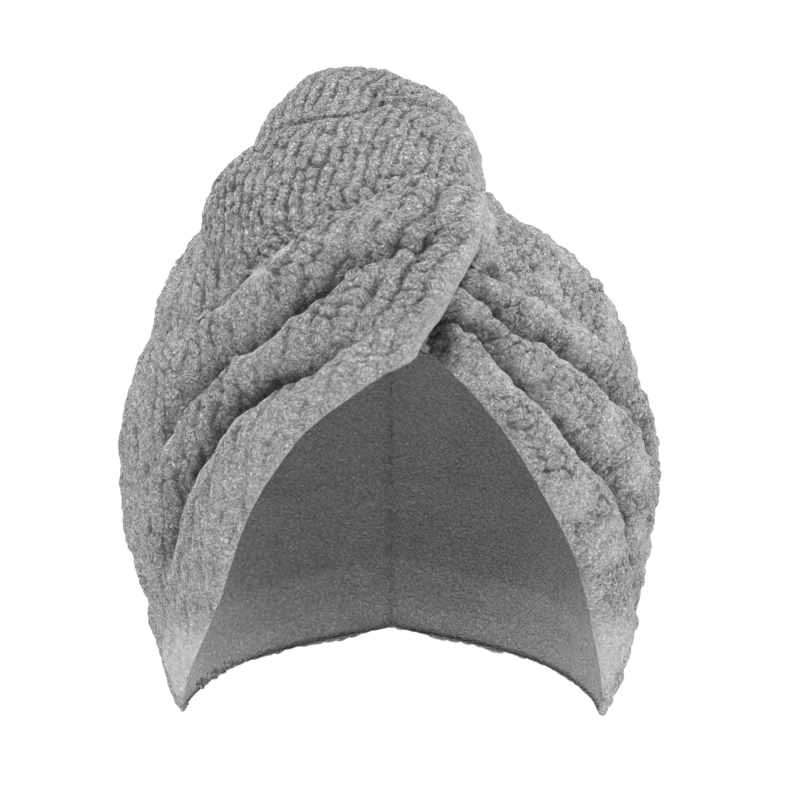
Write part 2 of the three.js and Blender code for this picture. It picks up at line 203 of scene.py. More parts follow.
@dataclass(frozen=True)
class Waves:
    """Slow unevenness: how much of it, how far from crest to crest, and which pattern."""

    size: float
    length: float
    seed: int

    def over(self, points: Array, pattern: int = 0) -> Array:
        """The unevenness at points, in another pattern for each number."""
        return self.size * slow_waves(points, self.length, self.seed + pattern)


def build_mesh(name: str, points: Array, faces: list[tuple[int, ...]]) -> bpy.types.Object:
    """Makes a smooth-shaded mesh object from points in millimetres.

    Args:
        name: Name of the piece.
        points: Array of points, 3 numbers each.
        faces: Corner numbers of each face.

    Returns:
        The new object, linked to the scene.
    """
    mesh = bpy.data.meshes.new(name)
    mesh.from_pydata((points * MM).tolist(), [], faces)
    mesh.polygons.foreach_set("use_smooth", [True] * len(mesh.polygons))
    mesh.update()
    piece = bpy.data.objects.new(name, mesh)
    bpy.context.scene.collection.objects.link(piece)
    return piece


def loop_faces(rings: int, sides: int) -> list[tuple[int, ...]]:
    """Joins rings of points into a tube that is open at both ends.

    Args:
        rings: How many rings there are, numbered one after another.
        sides: How many points each ring has.

    Returns:
        The faces of the tube.
    """
    ids = np.arange(rings * sides).reshape(rings, sides)
    following = np.roll(ids, -1, axis=1)
    quads = np.stack((ids[:-1], following[:-1], following[1:], ids[1:]), axis=-1)
    return [tuple(quad) for quad in quads.reshape(-1, 4).tolist()]


def cap_faces(rings: int, sides: int) -> list[tuple[int, ...]]:
    """Closes such a tube with two fans, to two middle points numbered after its rings.

    Args:
        rings: How many rings the tube has.
        sides: How many points each ring has.

    Returns:
        The faces of both fans.
    """
    first, last = rings * sides, rings * sides + 1
    start, end = range(sides), range((rings - 1) * sides, rings * sides)
    faces = [(first, start[(k + 1) % sides], start[k]) for k in range(sides)]
    return faces + [(last, end[k], end[(k + 1) % sides]) for k in range(sides)]


def grid_faces(ids: Array) -> list[tuple[int, ...]]:
    """Joins a grid of vertex numbers, rows by columns, into faces."""
    quads = np.stack((ids[:-1, :-1], ids[:-1, 1:], ids[1:, 1:], ids[1:, :-1]), axis=-1)
    return [tuple(quad) for quad in quads.reshape(-1, 4).tolist()]


def add_values(piece: bpy.types.Object, name: str, values: Array) -> None:
    """Stores one number for each vertex of a piece, for its material to read."""
    piece.data.attributes.new(name, "FLOAT", "POINT").data.foreach_set("value", values.ravel())


class Neighbours:
    """The solids of the frame as surfaces that a piece can be set against."""

    def __init__(self, *names: str) -> None:
        """Takes the names of the frame's nodes."""
        self.trees = [self._tree(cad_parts[name]) for name in names]

    @staticmethod
    def _tree(node: bpy.types.Object) -> BVHTree:
        """Sorts a node's surface for a search by distance.

        Args:
            node: The node.

        Returns:
            The search tree of its faces.
        """
        mesh = node.data
        places = [v.co.copy() for v in mesh.vertices]
        return BVHTree.FromPolygons(places, [tuple(p.vertices) for p in mesh.polygons])

    def nearest(self, points: Array) -> tuple[Array, Array]:
        """Finds the closest place on any of the solids.

        Args:
            points: Array of points in millimetres, 3 in its last axis.

        Returns:
            The closest places and their distances, in millimetres.
        """
        flat = points.reshape(-1, 3) * MM
        places = np.zeros_like(flat)
        away = np.full(len(flat), np.inf)
        for tree in self.trees:
            for i, point in enumerate(flat):
                place, _, _, distance = tree.find_nearest(point)
                if distance < away[i]:
                    places[i] = place
                    away[i] = distance
        return (places / MM).reshape(points.shape), (away / MM).reshape(points.shape[:-1])


def held_within(points: Array, node: str, slack: float = 0.7) -> tuple[Array, Array]:
    """Brings points that stray off a solid back to it, where its neighbours have hollowed it.

    Args:
        points: Array of points in millimetres.
        node: Name of the frame's node that the points follow.
        slack: Distance that is left as it is, in millimetres.

    Returns:
        The points, and a mask of the ones that were moved.
    """
    places, away = Neighbours(node).nearest(points)
    moved = away > slack
    return np.where(moved[..., None], places, points), moved


@dataclass(frozen=True)
class Quarters:
    """A length named for the brow, the side and the nape, and blended between them."""

    front: float
    side: float
    back: float
    ahead: Span = (25, 85)
    behind: Span = (95, 150)

    def at(self, azimuth: Array) -> Array:
        """Finds the length at places round the head.

        Args:
            azimuth: Degrees round the head.

        Returns:
            The length at each place.
        """
        away = np.abs(azimuth)
        length = mix(self.front, self.side, smooth(away, *self.ahead))
        return mix(length, self.back, smooth(away, *self.behind))


@dataclass(frozen=True)
class Head:
    """The form that the hood hangs on: an ellipsoid that is drawn in below its widest level."""

    half_width: float = 82
    front: float = 92
    back: float = 94
    crown: float = 98
    widest_z: float = -98
    lower_height: float = 82
    taper: float = 0.2
    taper_power: float = 1.35

    @property
    def crown_height(self) -> float:
        """Height of the very top, measured along the surface from the widest level."""
        return self.crown * math.pi / 2

    def at(self, azimuth: Array, height: Array) -> tuple[Array, Array, Array]:
        """Finds points on the head.

        Args:
            azimuth: Degrees round the head, 0 at the brow and positive to the right.
            height: Millimetres along the surface above the widest level.

        Returns:
            The points, their outward normals, and their distance from the middle line.
        """
        azimuth, height = np.broadcast_arrays(azimuth, height)
        turn = np.radians(azimuth)
        sin, cos = np.sin(turn), np.cos(turn)
        depth = np.where(cos > 0, self.front, self.back)
        reach = 1 / np.hypot(sin / self.half_width, cos / depth)
        angle = np.clip(height / self.crown, 0, math.pi / 2)
        down = np.maximum(-height / self.lower_height, 0)
        above = height >= 0
        girth = np.where(above, np.cos(angle), 1 - self.taper * down**self.taper_power)
        z = np.where(above, self.crown * np.sin(angle), height)
        draw = self.taper * self.taper_power * down ** (self.taper_power - 1) / self.lower_height
        lean = np.where(above, z / self.crown**2, -girth * draw)
        x = reach * girth * sin
        y = -reach * girth * cos
        normal = np.stack((x / self.half_width**2, y / depth**2, lean), axis=-1)
        normal /= np.linalg.norm(normal, axis=-1, keepdims=True)
        return np.stack((x, y, self.widest_z + z), axis=-1), normal, reach * girth


HEAD = Head()


@dataclass(frozen=True)
class Rise:
    """A place where bundled hair lifts the hood off the head."""

    height: float
    azimuth: float
    spread: float
    start: float
    full: float
    fade: float
    gone: float

    def at(self, azimuth: Array, height: Array) -> Array:
        """The lift at places on the head, in millimetres."""
        up = smooth(height, self.start, self.full) * (1 - smooth(height, self.fade, self.gone))
        return self.height * hump(azimuth, self.azimuth, self.spread) * up


@dataclass(frozen=True)
class Fold:
    """One crease line of the hood and the band of cloth above it."""

    name: str
    end: float
    heights: tuple[float, ...]
    crease: Quarters
    band: Quarters
    rows: int
    dip: Quarters = Quarters(0, 0, 0)


@dataclass(frozen=True)
class Press:
    """A place where the cloth is pushed in, or out where the depth is below zero."""

    depth: float
    azimuth: float
    spread: float
    height: float
    reach: float

    def at(self, azimuth: Array, height: Array) -> Array:
        """Finds how far the cloth is pushed in.

        Args:
            azimuth: Degrees round the head.
            height: Millimetres along the surface above the widest level.

        Returns:
            The depth at each place, in millimetres.
        """
        across = ((azimuth - self.azimuth) / self.spread) ** 2
        up = ((height - self.height) / self.reach) ** 2
        return self.depth * np.exp(-across - up)


Crossing = tuple[tuple[float, float, float], tuple[float, float, float]]


def crossed(across: Array, along: Array, waves: Crossing) -> Array:
    """Two waves that cross the cloth askew, each given by its two lengths and its phase."""
    return sum(np.sin(across / a + along / b + phase) for a, b, phase in waves)


@dataclass(frozen=True)
class Pile:
    """The nubbed face of the towelling, as a relief over the cloth's own coordinates."""

    row_pitch: float = 4.7
    tuft_pitch: float = 4.1
    stray_across: float = 0.45
    stray_along: float = 0.8
    crack: float = 0.62
    row_crack: float = 0.95
    pit: float = 1.0
    wobble: float = 0.5
    crack_width: float = 0.8
    row_crack_width: float = 0.85
    pit_width: float = 1.3
    seed: int = 1
    draws: int = 512
    bends: Crossing = ((13.0, 5.1, 0.0), (-7.7, 3.3, 2.0))
    deeps: Crossing = ((3.7, 2.9, 0.0), (6.1, -4.3, 0.0))
    deep: float = 0.65
    deep_change: float = 0.17
    least_row_crack: float = 0.15
    least_pit: float = 0.4
    dome_reach: float = 0.75
    shoulder: float = 0.56
    dome: float = 0.34
    change: float = 0.1
    depth: float = 2.1
    level: float = 0.85
    calming: float = 0.75
    held: float = 0.1

    def cells(self, u: Array, along: Array) -> tuple[Array, Array]:
        """Finds the three nubs nearest to each place of the cloth.

        Args:
            u: Rows of nubs across the cloth.
            along: Millimetres of cloth along the rows.

        Returns:
            The three distances in millimetres, nearest first, and the nearest nub's size.
        """
        table = np.random.default_rng(self.seed).random((self.draws, self.draws, 4))
        i0 = np.floor(u).astype(int)
        nearest = np.full((3, *u.shape), 1e9)
        size = np.zeros(u.shape)
        for di in (-1, 0, 1):
            i = i0 + di
            v = along / self.tuft_pitch + table[i % self.draws, 0, 3]
            j0 = np.floor(v).astype(int)
            for dj in (-1, 0, 1):
                j = j0 + dj
                cell = table[i % self.draws, j % self.draws]
                du = (u - i - 0.5 - (cell[..., 0] - 0.5) * self.stray_across) * self.row_pitch
                dv = (v - j - 0.5 - (cell[..., 1] - 0.5) * self.stray_along) * self.tuft_pitch
                away = np.hypot(du, dv)
                size = np.where(away < nearest[0], cell[..., 2], size)
                nearest = np.sort(np.concatenate((nearest, away[None])), axis=0)[:3]
        return nearest, size

    def height(self, across: Array, along: Array) -> Array:
        """How high the pile stands.

        Args:
            across: Millimetres of cloth across the rows of nubs.
            along: Millimetres of cloth along them.

        Returns:
            Values from 0 in the deepest gaps to 1 on the nubs.
        """
        u = (across + self.wobble * crossed(across, along, self.bends)) / self.row_pitch
        nearest, size = self.cells(u, along)
        deep = self.deep + self.deep_change * crossed(across, along, self.deeps)
        beside = np.abs(u - np.round(u)) * self.row_pitch
        row_share = mix(self.least_row_crack, 1.0, size)
        pit_share = mix(self.least_pit, 1.0, deep)
        cracks = np.stack((
            self.crack * deep * hump(nearest[1] - nearest[0], 0, self.crack_width),
            self.row_crack * row_share * hump(beside, 0, self.row_crack_width),
            self.pit * pit_share * hump(nearest[2] - nearest[0], 0, self.pit_width),
        )).max(axis=0)
        dome = 1 - np.clip(nearest[0] / (self.dome_reach * self.row_pitch), 0, 1) ** 2
        nubs = self.shoulder + self.dome * dome + self.change * size
        return np.clip(nubs * (1 - cracks), 0, 1)

    def relief(self, height: Array, calm: Array) -> Array:
        """How far the pile stands out of the cloth, in millimetres, and less where it is brushed."""
        return self.depth * (height - self.level) * (1 - self.calming * calm)


@dataclass(frozen=True)
class Chart:
    """Cloth coordinates over part of the hood: the rows of nubs lean and fan out."""

    lean: float
    fan: float
    centre: float = 0.0

    def at(self, wall: "Wall", climb: Array) -> tuple[Array, Array]:
        """Cloth coordinates of places on the hood.

        Args:
            wall: Where the hood stands.
            climb: Millimetres of cloth up from the rim, folds included.

        Returns:
            Millimetres across the rows of nubs and along them.
        """
        from_centre = wall.azimuth - self.centre
        round_head = np.radians(from_centre) * wall.reach
        across = round_head * (1 - self.fan * wall.height) - self.lean * wall.height
        along = climb + self.lean * round_head
        steep = math.hypot(1, self.lean)
        return across / steep, along / steep


@dataclass(frozen=True)
class Wall:
    """Where a half of the hood stands on the head, as grids of rows by columns."""

    point: Array
    normal: Array
    outside: Array
    inside: Array
    azimuth: Array
    height: Array
    reach: Array
    from_end: Array
    lap_edge: Array


@dataclass(frozen=True)
class Creases:
    """How far each place of the cloth is from the crease lines that bound its band, how deep they press it
    in, and the painted shade that darkens its colour beside them.
    """

    above: Array
    from_rim: Array
    dip: Array
    shade: Array
    marked: Array


@dataclass(frozen=True)
class CreaseStyle:
    """How a crease is pressed in, and the painted shade that darkens the colour beside it: wider above its
    line than below it, and unevenly.
    """

    dip_above: float = 4.4
    dip_below: float = 2.2
    shade_above: float = 6.5
    shade_below: float = 1.5
    marked_by_dip: Span = (0.3, 1.3)
    strength: float = 0.75
    fading: Waves = Waves(0.5, 24, 60)
    fading_limits: Span = (0.15, 1.1)
    dips: tuple[Waves, ...] = (Waves(0.3, 17, 40), Waves(0.3, 7, 50))
    shade: float = 0.6
    shades: Waves = Waves(0.16, 6, 70)
    no_line: float = 99.0
    full_shade: float = 2.6


@dataclass(frozen=True)
class BrushedAndLitStyle:
    """Where the pile lies brushed smooth, and how much, from 0 to 1: brushed pile is flatter and lighter in
    colour, and along the crests that lighter colour is a painted highlight.
    """

    crest: float = 0.6
    crest_fade: Span = (3.0, 11.0)
    crest_from_end: Span = (22, 46)
    rim: float = 0.25
    rim_width: float = 1.8
    tip: float = 0.7
    tip_heights: Span = (-60, -22)
    tip_azimuths: Span = (66, 96)
    patches: Waves = Waves(1.0, 26, 3)
    patch_levels: Span = (-1.0, 1.0)
    edge: float = 0.5
    edge_fade: Span = (2, 11)
    edge_height: float = 40
    brow: float = 0.38
    brow_azimuths: Span = (70, 95)
    brow_heights: Span = (12, 24)
    hollow_fade: Span = (6, 16)


@dataclass(frozen=True)
class Knot:
    """The left half's edge, where it laps over the right half between the brow and the crown."""

    clearance: float = 5.0
    clearance_ends: Span = (4, 12)
    clearance_azimuths: Span = (-8, 6)
    roll: float = 12.0
    thinning: float = 0.9
    edge: float = 0.15
    edge_roll: float = 6.5
    level: float = 0.85
    level_fade: Span = (12, 46)
    seen_heights: Span = (82, 100)
    seen_azimuth: float = -40.0
    dip_fade: Span = (14, 50)
    shade_fade: Span = (8, 24)
    tuck_away: float = 15.0
    tuck_width: float = 2.2
    tuck_depth: float = 1.3
    # Painted shade along the tuck, as a share of its depth.
    tuck_shade: float = 0.45
    tuck_start: Span = (56, 62)
    tuck_end: Span = (74, 84)
    side_azimuth: float = -72.0
    side_spread: float = 34.0
    side_heights: Span = (20, 70)


@dataclass(frozen=True)
class Crevice:
    """The right half's sunk start, where it comes out from under the knot; its hollow is also darkened with
    painted shade.
    """

    depth: float = 2.4
    reach: Span = (4, 10)
    heights: Span = (58, 66)
    widening: float = 5.5
    widening_heights: Span = (43, 57)
    start_lift: float = 2.6
    start_rise: float = 15.0
    side_azimuths: Span = (30, 60)
    side_start: Span = (84, 106)
    side_end: Span = (108, 116)


@dataclass
class HoodHalf:
    """One half of the hood: its folds, its pile and the seams that bound it."""

    name: str
    node: str
    side: Side
    azimuths: tuple[float, ...]
    folds: tuple[Fold, ...]
    rises: tuple[Rise, ...]
    chart: Chart
    back_chart: Chart
    pile: Pile
    calm_patches: float
    flat: tuple[float, float]
    cloth_area: float
    neighbours: tuple[str, ...]
    presses: tuple[Press, ...] = ()
    wander: Wander = Wander()
    crease_style: CreaseStyle = CreaseStyle()
    brushed_and_lit_style: BrushedAndLitStyle = BrushedAndLitStyle()
    knot: Knot = Knot()
    crevice: Crevice = Crevice()
    trim: float = 1.5
    columns: int = 318
    coarse: int = 3
    crowding: float = 0.35
    fold_skew: float = 1.3
    fold_roundness: float = 0.65
    fold_inside: float = 0.4
    pole_lift: float = 10.5
    seam_dip: float = 3.0
    seam_width: float = 7.0
    seam_height: float = 100.0
    seam_azimuth: float = 90.0
    hem_inside: float = 1.6
    hem_share: float = 0.5
    hem_steps: int = 6
    hem_drop: float = 4.0
    point_inside: float = 4.5
    point_heights: Span = (-76, -35)
    lap_ends: Span = (0, 4)
    back_azimuths: Span = (93, 101)
    slack: float = 1.4
    contact: Span = (0.4, 2.6)
    overlap: float = 0.6
    hang: tuple[Waves, Waves] = (Waves(0.5, 24, 0), Waves(0.45, 8, 20))
    sag: float = 0.35
    inner_ridge: float = 1.3
    inner_ridge_width: float = 4.0
    softening: float = 0.8

    def line(self, number: int, azimuth: Array) -> Array:
        """Height of a crease line on the head, in millimetres; line 0 is the rim."""
        course = curve_through(self.azimuths, self.folds[number].heights, azimuth)
        return course + self.wander.at(number, azimuth)

    def wall(self, band: int, t: Array, around: Array) -> Wall:
        """Works out where one band of the half stands.

        Args:
            band: Which band, counted from the rim.
            t: Shares of the way up the band, one for each row.
            around: Shares of the way from the nape seam to the knot, one for each column.

        Returns:
            The band's wall.
        """
        lower = self.folds[band]
        upper = self.folds[band + 1] if band + 1 < len(self.folds) else None
        t = t[:, None]
        end = mix(lower.end, upper.end if upper else 0.0, t)
        azimuth = mix(self.side.value * 180.0, end, around[None, :])
        top = self.line(band + 1, azimuth) if upper else HEAD.crown_height
        height = mix(self.line(band, azimuth), top, t)
        above = upper.crease.at(azimuth) if upper else self.pole_lift
        crease = mix(lower.crease.at(azimuth), above, t)
        room = lower.band.at(azimuth) - crease
        fold = room * np.sin(np.pi * np.clip(t, 0, 1) ** self.fold_skew) ** self.fold_roundness
        point, normal, reach = HEAD.at(azimuth, height)
        seam = self.seam_dip * hump(point[..., 0], 0, self.seam_width)
        seam *= (height > self.seam_height) | (np.abs(azimuth) > self.seam_azimuth)
        inside = self.fold_inside * fold
        inside = inside + self.point_inside * (1 - smooth(height, *self.point_heights))
        if band == 0:
            inside = inside + self.hem_inside * (1 - smooth(t, 0, self.hem_share))
        wall = Wall(
            point=point,
            normal=normal,
            outside=crease + fold - seam,
            inside=inside,
            azimuth=azimuth,
            height=height,
            reach=reach,
            from_end=np.radians(np.abs(azimuth - end)) * reach,
            lap_edge=np.zeros(np.shape(azimuth)),
        )
        if self.side is Side.LEFT:
            wall = self._lapped(wall, end, room, fold)
        else:
            risen = smooth(wall.from_end, 0, self.crevice.start_rise)
            risen = mix(1.0, risen, smooth(end, *self.lap_ends))
            outside = mix(self.crevice.start_lift, wall.outside, risen)
            wall = replace(wall, outside=outside, inside=wall.inside * risen)
        rise = sum(r.at(azimuth, height) for r in self.rises)
        return replace(wall, outside=wall.outside + rise, inside=wall.inside + rise)

    def _lapped(self, wall: Wall, end: Array, room: Array, fold: Array) -> Wall:
        """Lays the left half over the right one and rounds its edge.

        Args:
            wall: The wall so far.
            end: Azimuth where each row ends.
            room: How far the band may stand out past its creases.
            fold: How far it does.

        Returns:
            The wall with its lap.
        """
        knot = self.knot
        on_lap = smooth(end, *self.lap_ends)
        clear = knot.clearance * smooth(end, *knot.clearance_ends)
        clear = clear * smooth(wall.azimuth, *knot.clearance_azimuths) * (on_lap > 0)
        inside, outside = wall.inside + clear, wall.outside + clear
        shrink = mix(1 - knot.thinning, 1.0, rounded(wall.from_end, knot.roll))
        rounder = rounded(wall.from_end, knot.edge_roll)
        fuller = (outside - inside) * (mix(knot.edge, 1.0, rounder) - shrink) * on_lap
        flatter = (room * knot.level - fold) * (1 - smooth(wall.from_end, *knot.level_fade))
        seen = (1 - smooth(wall.height, *knot.seen_heights)) * (wall.azimuth > knot.seen_azimuth)
        return replace(
            wall,
            outside=mix(outside, inside + (outside - inside) * shrink, on_lap),
            inside=inside,
            lap_edge=(fuller + flatter * rounder) * seen,
        )

    def whole_wall(self) -> Wall:
        """Joins the walls of every band.

        Returns:
            The wall of the whole half, with the rows of the bands after one another.
        """
        share = np.linspace(0, 1, self.columns + 1)
        around = share * (1 + self.crowding * (1 - share))
        bands = [
            self.wall(band, np.arange(fold.rows) / fold.rows, around)
            for band, fold in enumerate(self.folds)
        ]
        return Wall(*(np.concatenate(parts) for parts in zip(*(vars(b).values() for b in bands))))

    def creases(self, outer: Array, azimuth: Array) -> Creases:
        """Measures how far each place is from the creases, square to them.

        Args:
            outer: Grid of the outside.
            azimuth: Azimuth of each place.

        Returns:
            The distances in millimetres, how deep the nearest crease is pressed in, the painted shade
            beside it, and how strongly each crease is marked.
        """
        style = self.crease_style
        up = np.diff(outer, axis=0, append=outer[-1:])
        along = np.gradient(outer, axis=1)
        step = np.linalg.norm(np.cross(up, along), axis=2)
        step /= np.maximum(np.linalg.norm(along, axis=2), 1e-9)
        climb = np.concatenate((np.zeros((1, step.shape[1])), np.cumsum(step, axis=0)[:-1]))
        starts = np.cumsum([0] + [fold.rows for fold in self.folds])
        above = np.full(climb.shape, style.no_line)
        dip, shade, marked = (np.zeros(climb.shape) for _ in range(3))
        for k, fold in enumerate(self.folds[1:], 1):
            here, under = slice(starts[k], starts[k + 1]), slice(starts[k - 1], starts[k])
            line = climb[starts[k]]
            past = climb[here] - line
            above[under] = line - climb[under]
            depth = fold.dip.at(azimuth)
            fading = np.clip(style.strength + style.fading.over(outer, k), *style.fading_limits)
            strength = smooth(depth, *style.marked_by_dip) * fading
            marked[under] = strength[under]
            depth = depth * (1 + sum(waves.over(outer, k) for waves in style.dips))
            dip[here] += depth[here] * hump(past, 0, style.dip_above)
            dip[under] += depth[under] * hump(above[under], 0, style.dip_below)
            # Painted shade beside each crease line, which darkens the colour.
            strength = strength * (style.shade + style.shades.over(outer, k))
            shade[here] += strength[here] * hump(past, 0, style.shade_above)
            shade[under] += strength[under] * hump(above[under], 0, style.shade_below)
        return Creases(above, climb, dip, np.clip(shade, 0, 1), marked)

    def calm(self, wall: Wall, creases: Creases, outer: Array) -> Array:
        """Where the pile is brushed smooth, flatter and lighter in colour: along crests, rims and the
        knot's edge; along the crests the lighter colour is a painted highlight.

        Args:
            wall: Where the half stands.
            creases: Distances to the creases.
            outer: Grid of the outside.

        Returns:
            Values from 0 to 1.
        """
        style = self.brushed_and_lit_style
        # Painted highlight along each crest, under the crease line above it; the pile there is also
        # flattened.
        crest = style.crest * creases.marked * (1 - smooth(creases.above, *style.crest_fade))
        crest *= smooth(wall.from_end, *style.crest_from_end)
        rim = style.rim * hump(creases.from_rim, 0, style.rim_width)
        tip = style.tip * (1 - smooth(wall.height, *style.tip_heights))
        tip *= 1 - smooth(np.abs(wall.azimuth), *style.tip_azimuths)
        waves = style.patches.over(outer, self.pile.seed)
        patch = self.calm_patches * smooth(waves, *style.patch_levels)
        if self.side is Side.RIGHT:
            hollow = 1 - smooth(wall.from_end, *style.hollow_fade)
            return np.stack((crest, rim, tip, patch)).max(axis=0) * (1 - hollow)
        edge = style.edge * (1 - smooth(wall.from_end, *style.edge_fade))
        edge *= wall.height > style.edge_height
        brow = style.brow * (1 - smooth(np.abs(wall.azimuth), *style.brow_azimuths))
        brow *= 1 - smooth(creases.from_rim, *style.brow_heights)
        return np.stack((crest, rim, tip, patch, brow, edge)).max(axis=0)

    def pressed(self, wall: Wall, creases: Creases) -> tuple[Array, Array]:
        """How deep the cloth is pressed in, and how much painted shade darkens its colour there.

        Args:
            wall: Where the half stands.
            creases: Distances to the creases.

        Returns:
            Depths in millimetres, and painted shades from 0 to 1.
        """
        marks = sum(press.at(wall.azimuth, wall.height) for press in self.presses)
        if self.side is Side.LEFT:
            return self._pressed_left(wall, creases, marks)
        return self._pressed_right(wall, creases, marks)

    def _pressed_left(self, wall: Wall, creases: Creases, marks: Array) -> tuple[Array, Array]:
        """The same for the left half: a tuck runs beside its edge at the knot, with painted shade along it.

        Args:
            wall: Where the half stands.
            creases: Distances to the creases.
            marks: Depths of the single presses.

        Returns:
            Depths in millimetres, and painted shades from 0 to 1.
        """
        knot, height, from_end = self.knot, wall.height, wall.from_end
        dip = creases.dip * smooth(from_end, *knot.dip_fade) + marks
        # Painted shade in the creases, fading out near the knot's edge.
        shade = np.clip((dip - marks) / self.crease_style.full_shade, 0, 1)
        shade = np.maximum(shade, creases.shade * smooth(from_end, *knot.shade_fade))
        tuck = hump(from_end, knot.tuck_away, knot.tuck_width) * smooth(height, *knot.tuck_start)
        tuck *= 1 - smooth(height, *knot.tuck_end)
        side = hump(wall.azimuth, knot.side_azimuth, knot.side_spread)
        side *= smooth(height, *knot.side_heights)
        depth = dip + knot.tuck_depth * tuck + self.trim * side
        # The tuck also darkens the colour: painted shade.
        return depth, np.maximum(shade, knot.tuck_shade * tuck)

    def _pressed_right(self, wall: Wall, creases: Creases, marks: Array) -> tuple[Array, Array]:
        """The same for the right half: it starts in the crevice under the knot, which is darkened with
        painted shade.

        Args:
            wall: Where the half stands.
            creases: Distances to the creases.
            marks: Depths of the single presses.

        Returns:
            Depths in millimetres, and painted shades from 0 to 1.
        """
        crevice, height = self.crevice, wall.height
        wide = crevice.widening * (1 - smooth(height, *crevice.widening_heights))
        hollow = 1 - smooth(wall.from_end - wide, *crevice.reach)
        hollow *= 1 - smooth(height, *crevice.heights)
        deep = np.clip(creases.dip / self.crease_style.full_shade, 0, 1)
        side = smooth(wall.azimuth, *crevice.side_azimuths) * smooth(height, *crevice.side_start)
        side *= 1 - smooth(height, *crevice.side_end)
        depth = creases.dip + marks + crevice.depth * hollow + self.trim * side
        # Painted shade from the creases and from the crevice under the knot.
        return depth, np.stack((deep, creases.shade, hollow)).max(axis=0)

    def pile_height(self, wall: Wall, climb: Array) -> Array:
        """The pile over the whole half, in its brow and nape parts.

        Args:
            wall: Where the half stands.
            climb: Millimetres of cloth up from the rim.

        Returns:
            Values from 0 in the gaps to 1 on the nubs.
        """
        front = self.pile.height(*self.chart.at(wall, climb))
        back = self.pile.height(*self.back_chart.at(wall, climb))
        return mix(front, back, smooth(np.abs(wall.azimuth), *self.back_azimuths))

    def build(self) -> bpy.types.Object:
        """Builds the half as a closed cloth shell with its pile.

        Returns:
            The new piece.
        """
        log.info("%s: folds %s", self.name, ", ".join(fold.name for fold in self.folds))
        wall = self.whole_wall()
        outer = wall.point + wall.normal * wall.outside[..., None]
        creases = self.creases(outer, wall.azimuth)
        outer, moved = held_within(outer, self.node, self.slack)
        _, away = Neighbours(*self.neighbours).nearest(outer)
        free = smooth(away, *self.contact) * ~moved
        step = np.linalg.norm(np.diff(outer, axis=0, prepend=outer[:1]), axis=2)
        pile = self.pile_height(wall, np.cumsum(step, axis=0) + wall.height[:1])
        calm = self.calm(wall, creases, outer)
        dip, shade = self.pressed(wall, creases)
        broad, fine = (waves.over(outer, self.pile.seed) for waves in self.hang)
        shift = broad - self.sag - dip + fine + self.pile.relief(pile, calm)
        shift = shift * mix(self.pile.held, 1.0, free) + wall.lap_edge + self.overlap * (1 - free)
        outer = outer + wall.normal * shift[..., None]
        inner = (wall.point + wall.normal * wall.inside[..., None])[:: self.coarse, :: self.coarse]
        ridge = self.inner_ridge * hump(inner[..., 0], 0, self.inner_ridge_width)
        ridge *= inner[..., 1] > 0
        inner = inner - wall.normal[:: self.coarse, :: self.coarse] * ridge[..., None]
        piece = self._shell(outer, inner, wall)
        # The pile value sets the painted shade in the pile's gaps.
        self._store(piece, "pile", softened(pile, calm, self.softening), 0.8)
        # Brushed pile: flatter, and lighter in colour, which along the crests is a painted highlight.
        self._store(piece, "calm", calm, 0.5)
        # The crease value is painted shade in the creases, the tuck and the crevice, for the colour.
        self._store(piece, "crease", shade, 0.0)
        return piece

    def _store(self, piece: bpy.types.Object, name: str, values: Array, inside: float) -> None:
        """Stores a value for each vertex of the half.

        Args:
            piece: The half's mesh.
            name: Name of the value.
            values: The value over the grid of the outside; the hem repeats its lowest row.
            inside: The value for every vertex of the inside.
        """
        full = np.full(len(piece.data.vertices), inside)
        hem = np.tile(values[0], self.hem_steps - 1)
        full[: values.size + hem.size] = np.concatenate((values.ravel(), hem))
        add_values(piece, name, full)

    def _shell(self, outer: Array, inner: Array, wall: Wall) -> bpy.types.Object:
        """Joins the outer and inner grids into one closed mesh.

        Args:
            outer: Grid of the outside, rows by columns.
            inner: Coarser grid of the inside.
            wall: The wall that both stand on.

        Returns:
            The new piece.
        """
        rows, columns = outer.shape[:2]
        points = [outer.reshape(-1, 3)]
        outside = np.arange(rows * columns).reshape(rows, columns)
        count = rows * columns
        hem = self._hem(outer[0], wall)
        points.append(hem.reshape(-1, 3))
        hem_ids = count + np.arange(hem.shape[0] * columns).reshape(hem.shape[0], columns)
        count += hem_ids.size
        points.append(inner.reshape(-1, 3))
        inside = count + np.arange(inner.shape[0] * inner.shape[1]).reshape(inner.shape[:2])
        count += inside.size
        points.append(np.array([[0, 0, self.pole_lift - self.seam_dip], [0, 0, 0]], float))
        top, under = count, count + 1
        skin = np.concatenate((hem_ids[::-1], outside))
        faces = grid_faces(skin) + grid_faces(inside.T)
        last = outside[-1].tolist()
        faces += [(a, b, top) for a, b in zip(last[:-1], last[1:])]
        last = inside[-1].tolist()
        faces += [(b, a, under) for a, b in zip(last[:-1], last[1:])]
        faces += self._zip(skin[0].tolist(), inside[0].tolist(), True)
        ends = ((0, True), (-1, False))
        for column, turned in ends:
            fine = outside[:, column].tolist()
            rim = hem_ids[:, column].tolist()
            faces += self._zip(fine + [top], inside[:, column].tolist() + [under], turned)
            hub = inside[0, column].item()
            edge = [fine[0], *rim]
            fan = [(hub, b, a) if turned else (hub, a, b) for a, b in zip(edge[:-1], edge[1:])]
            faces += fan
        if self.side is Side.RIGHT:
            faces = [tuple(reversed(face)) for face in faces]
        return build_mesh(self.name, np.concatenate(points), faces)

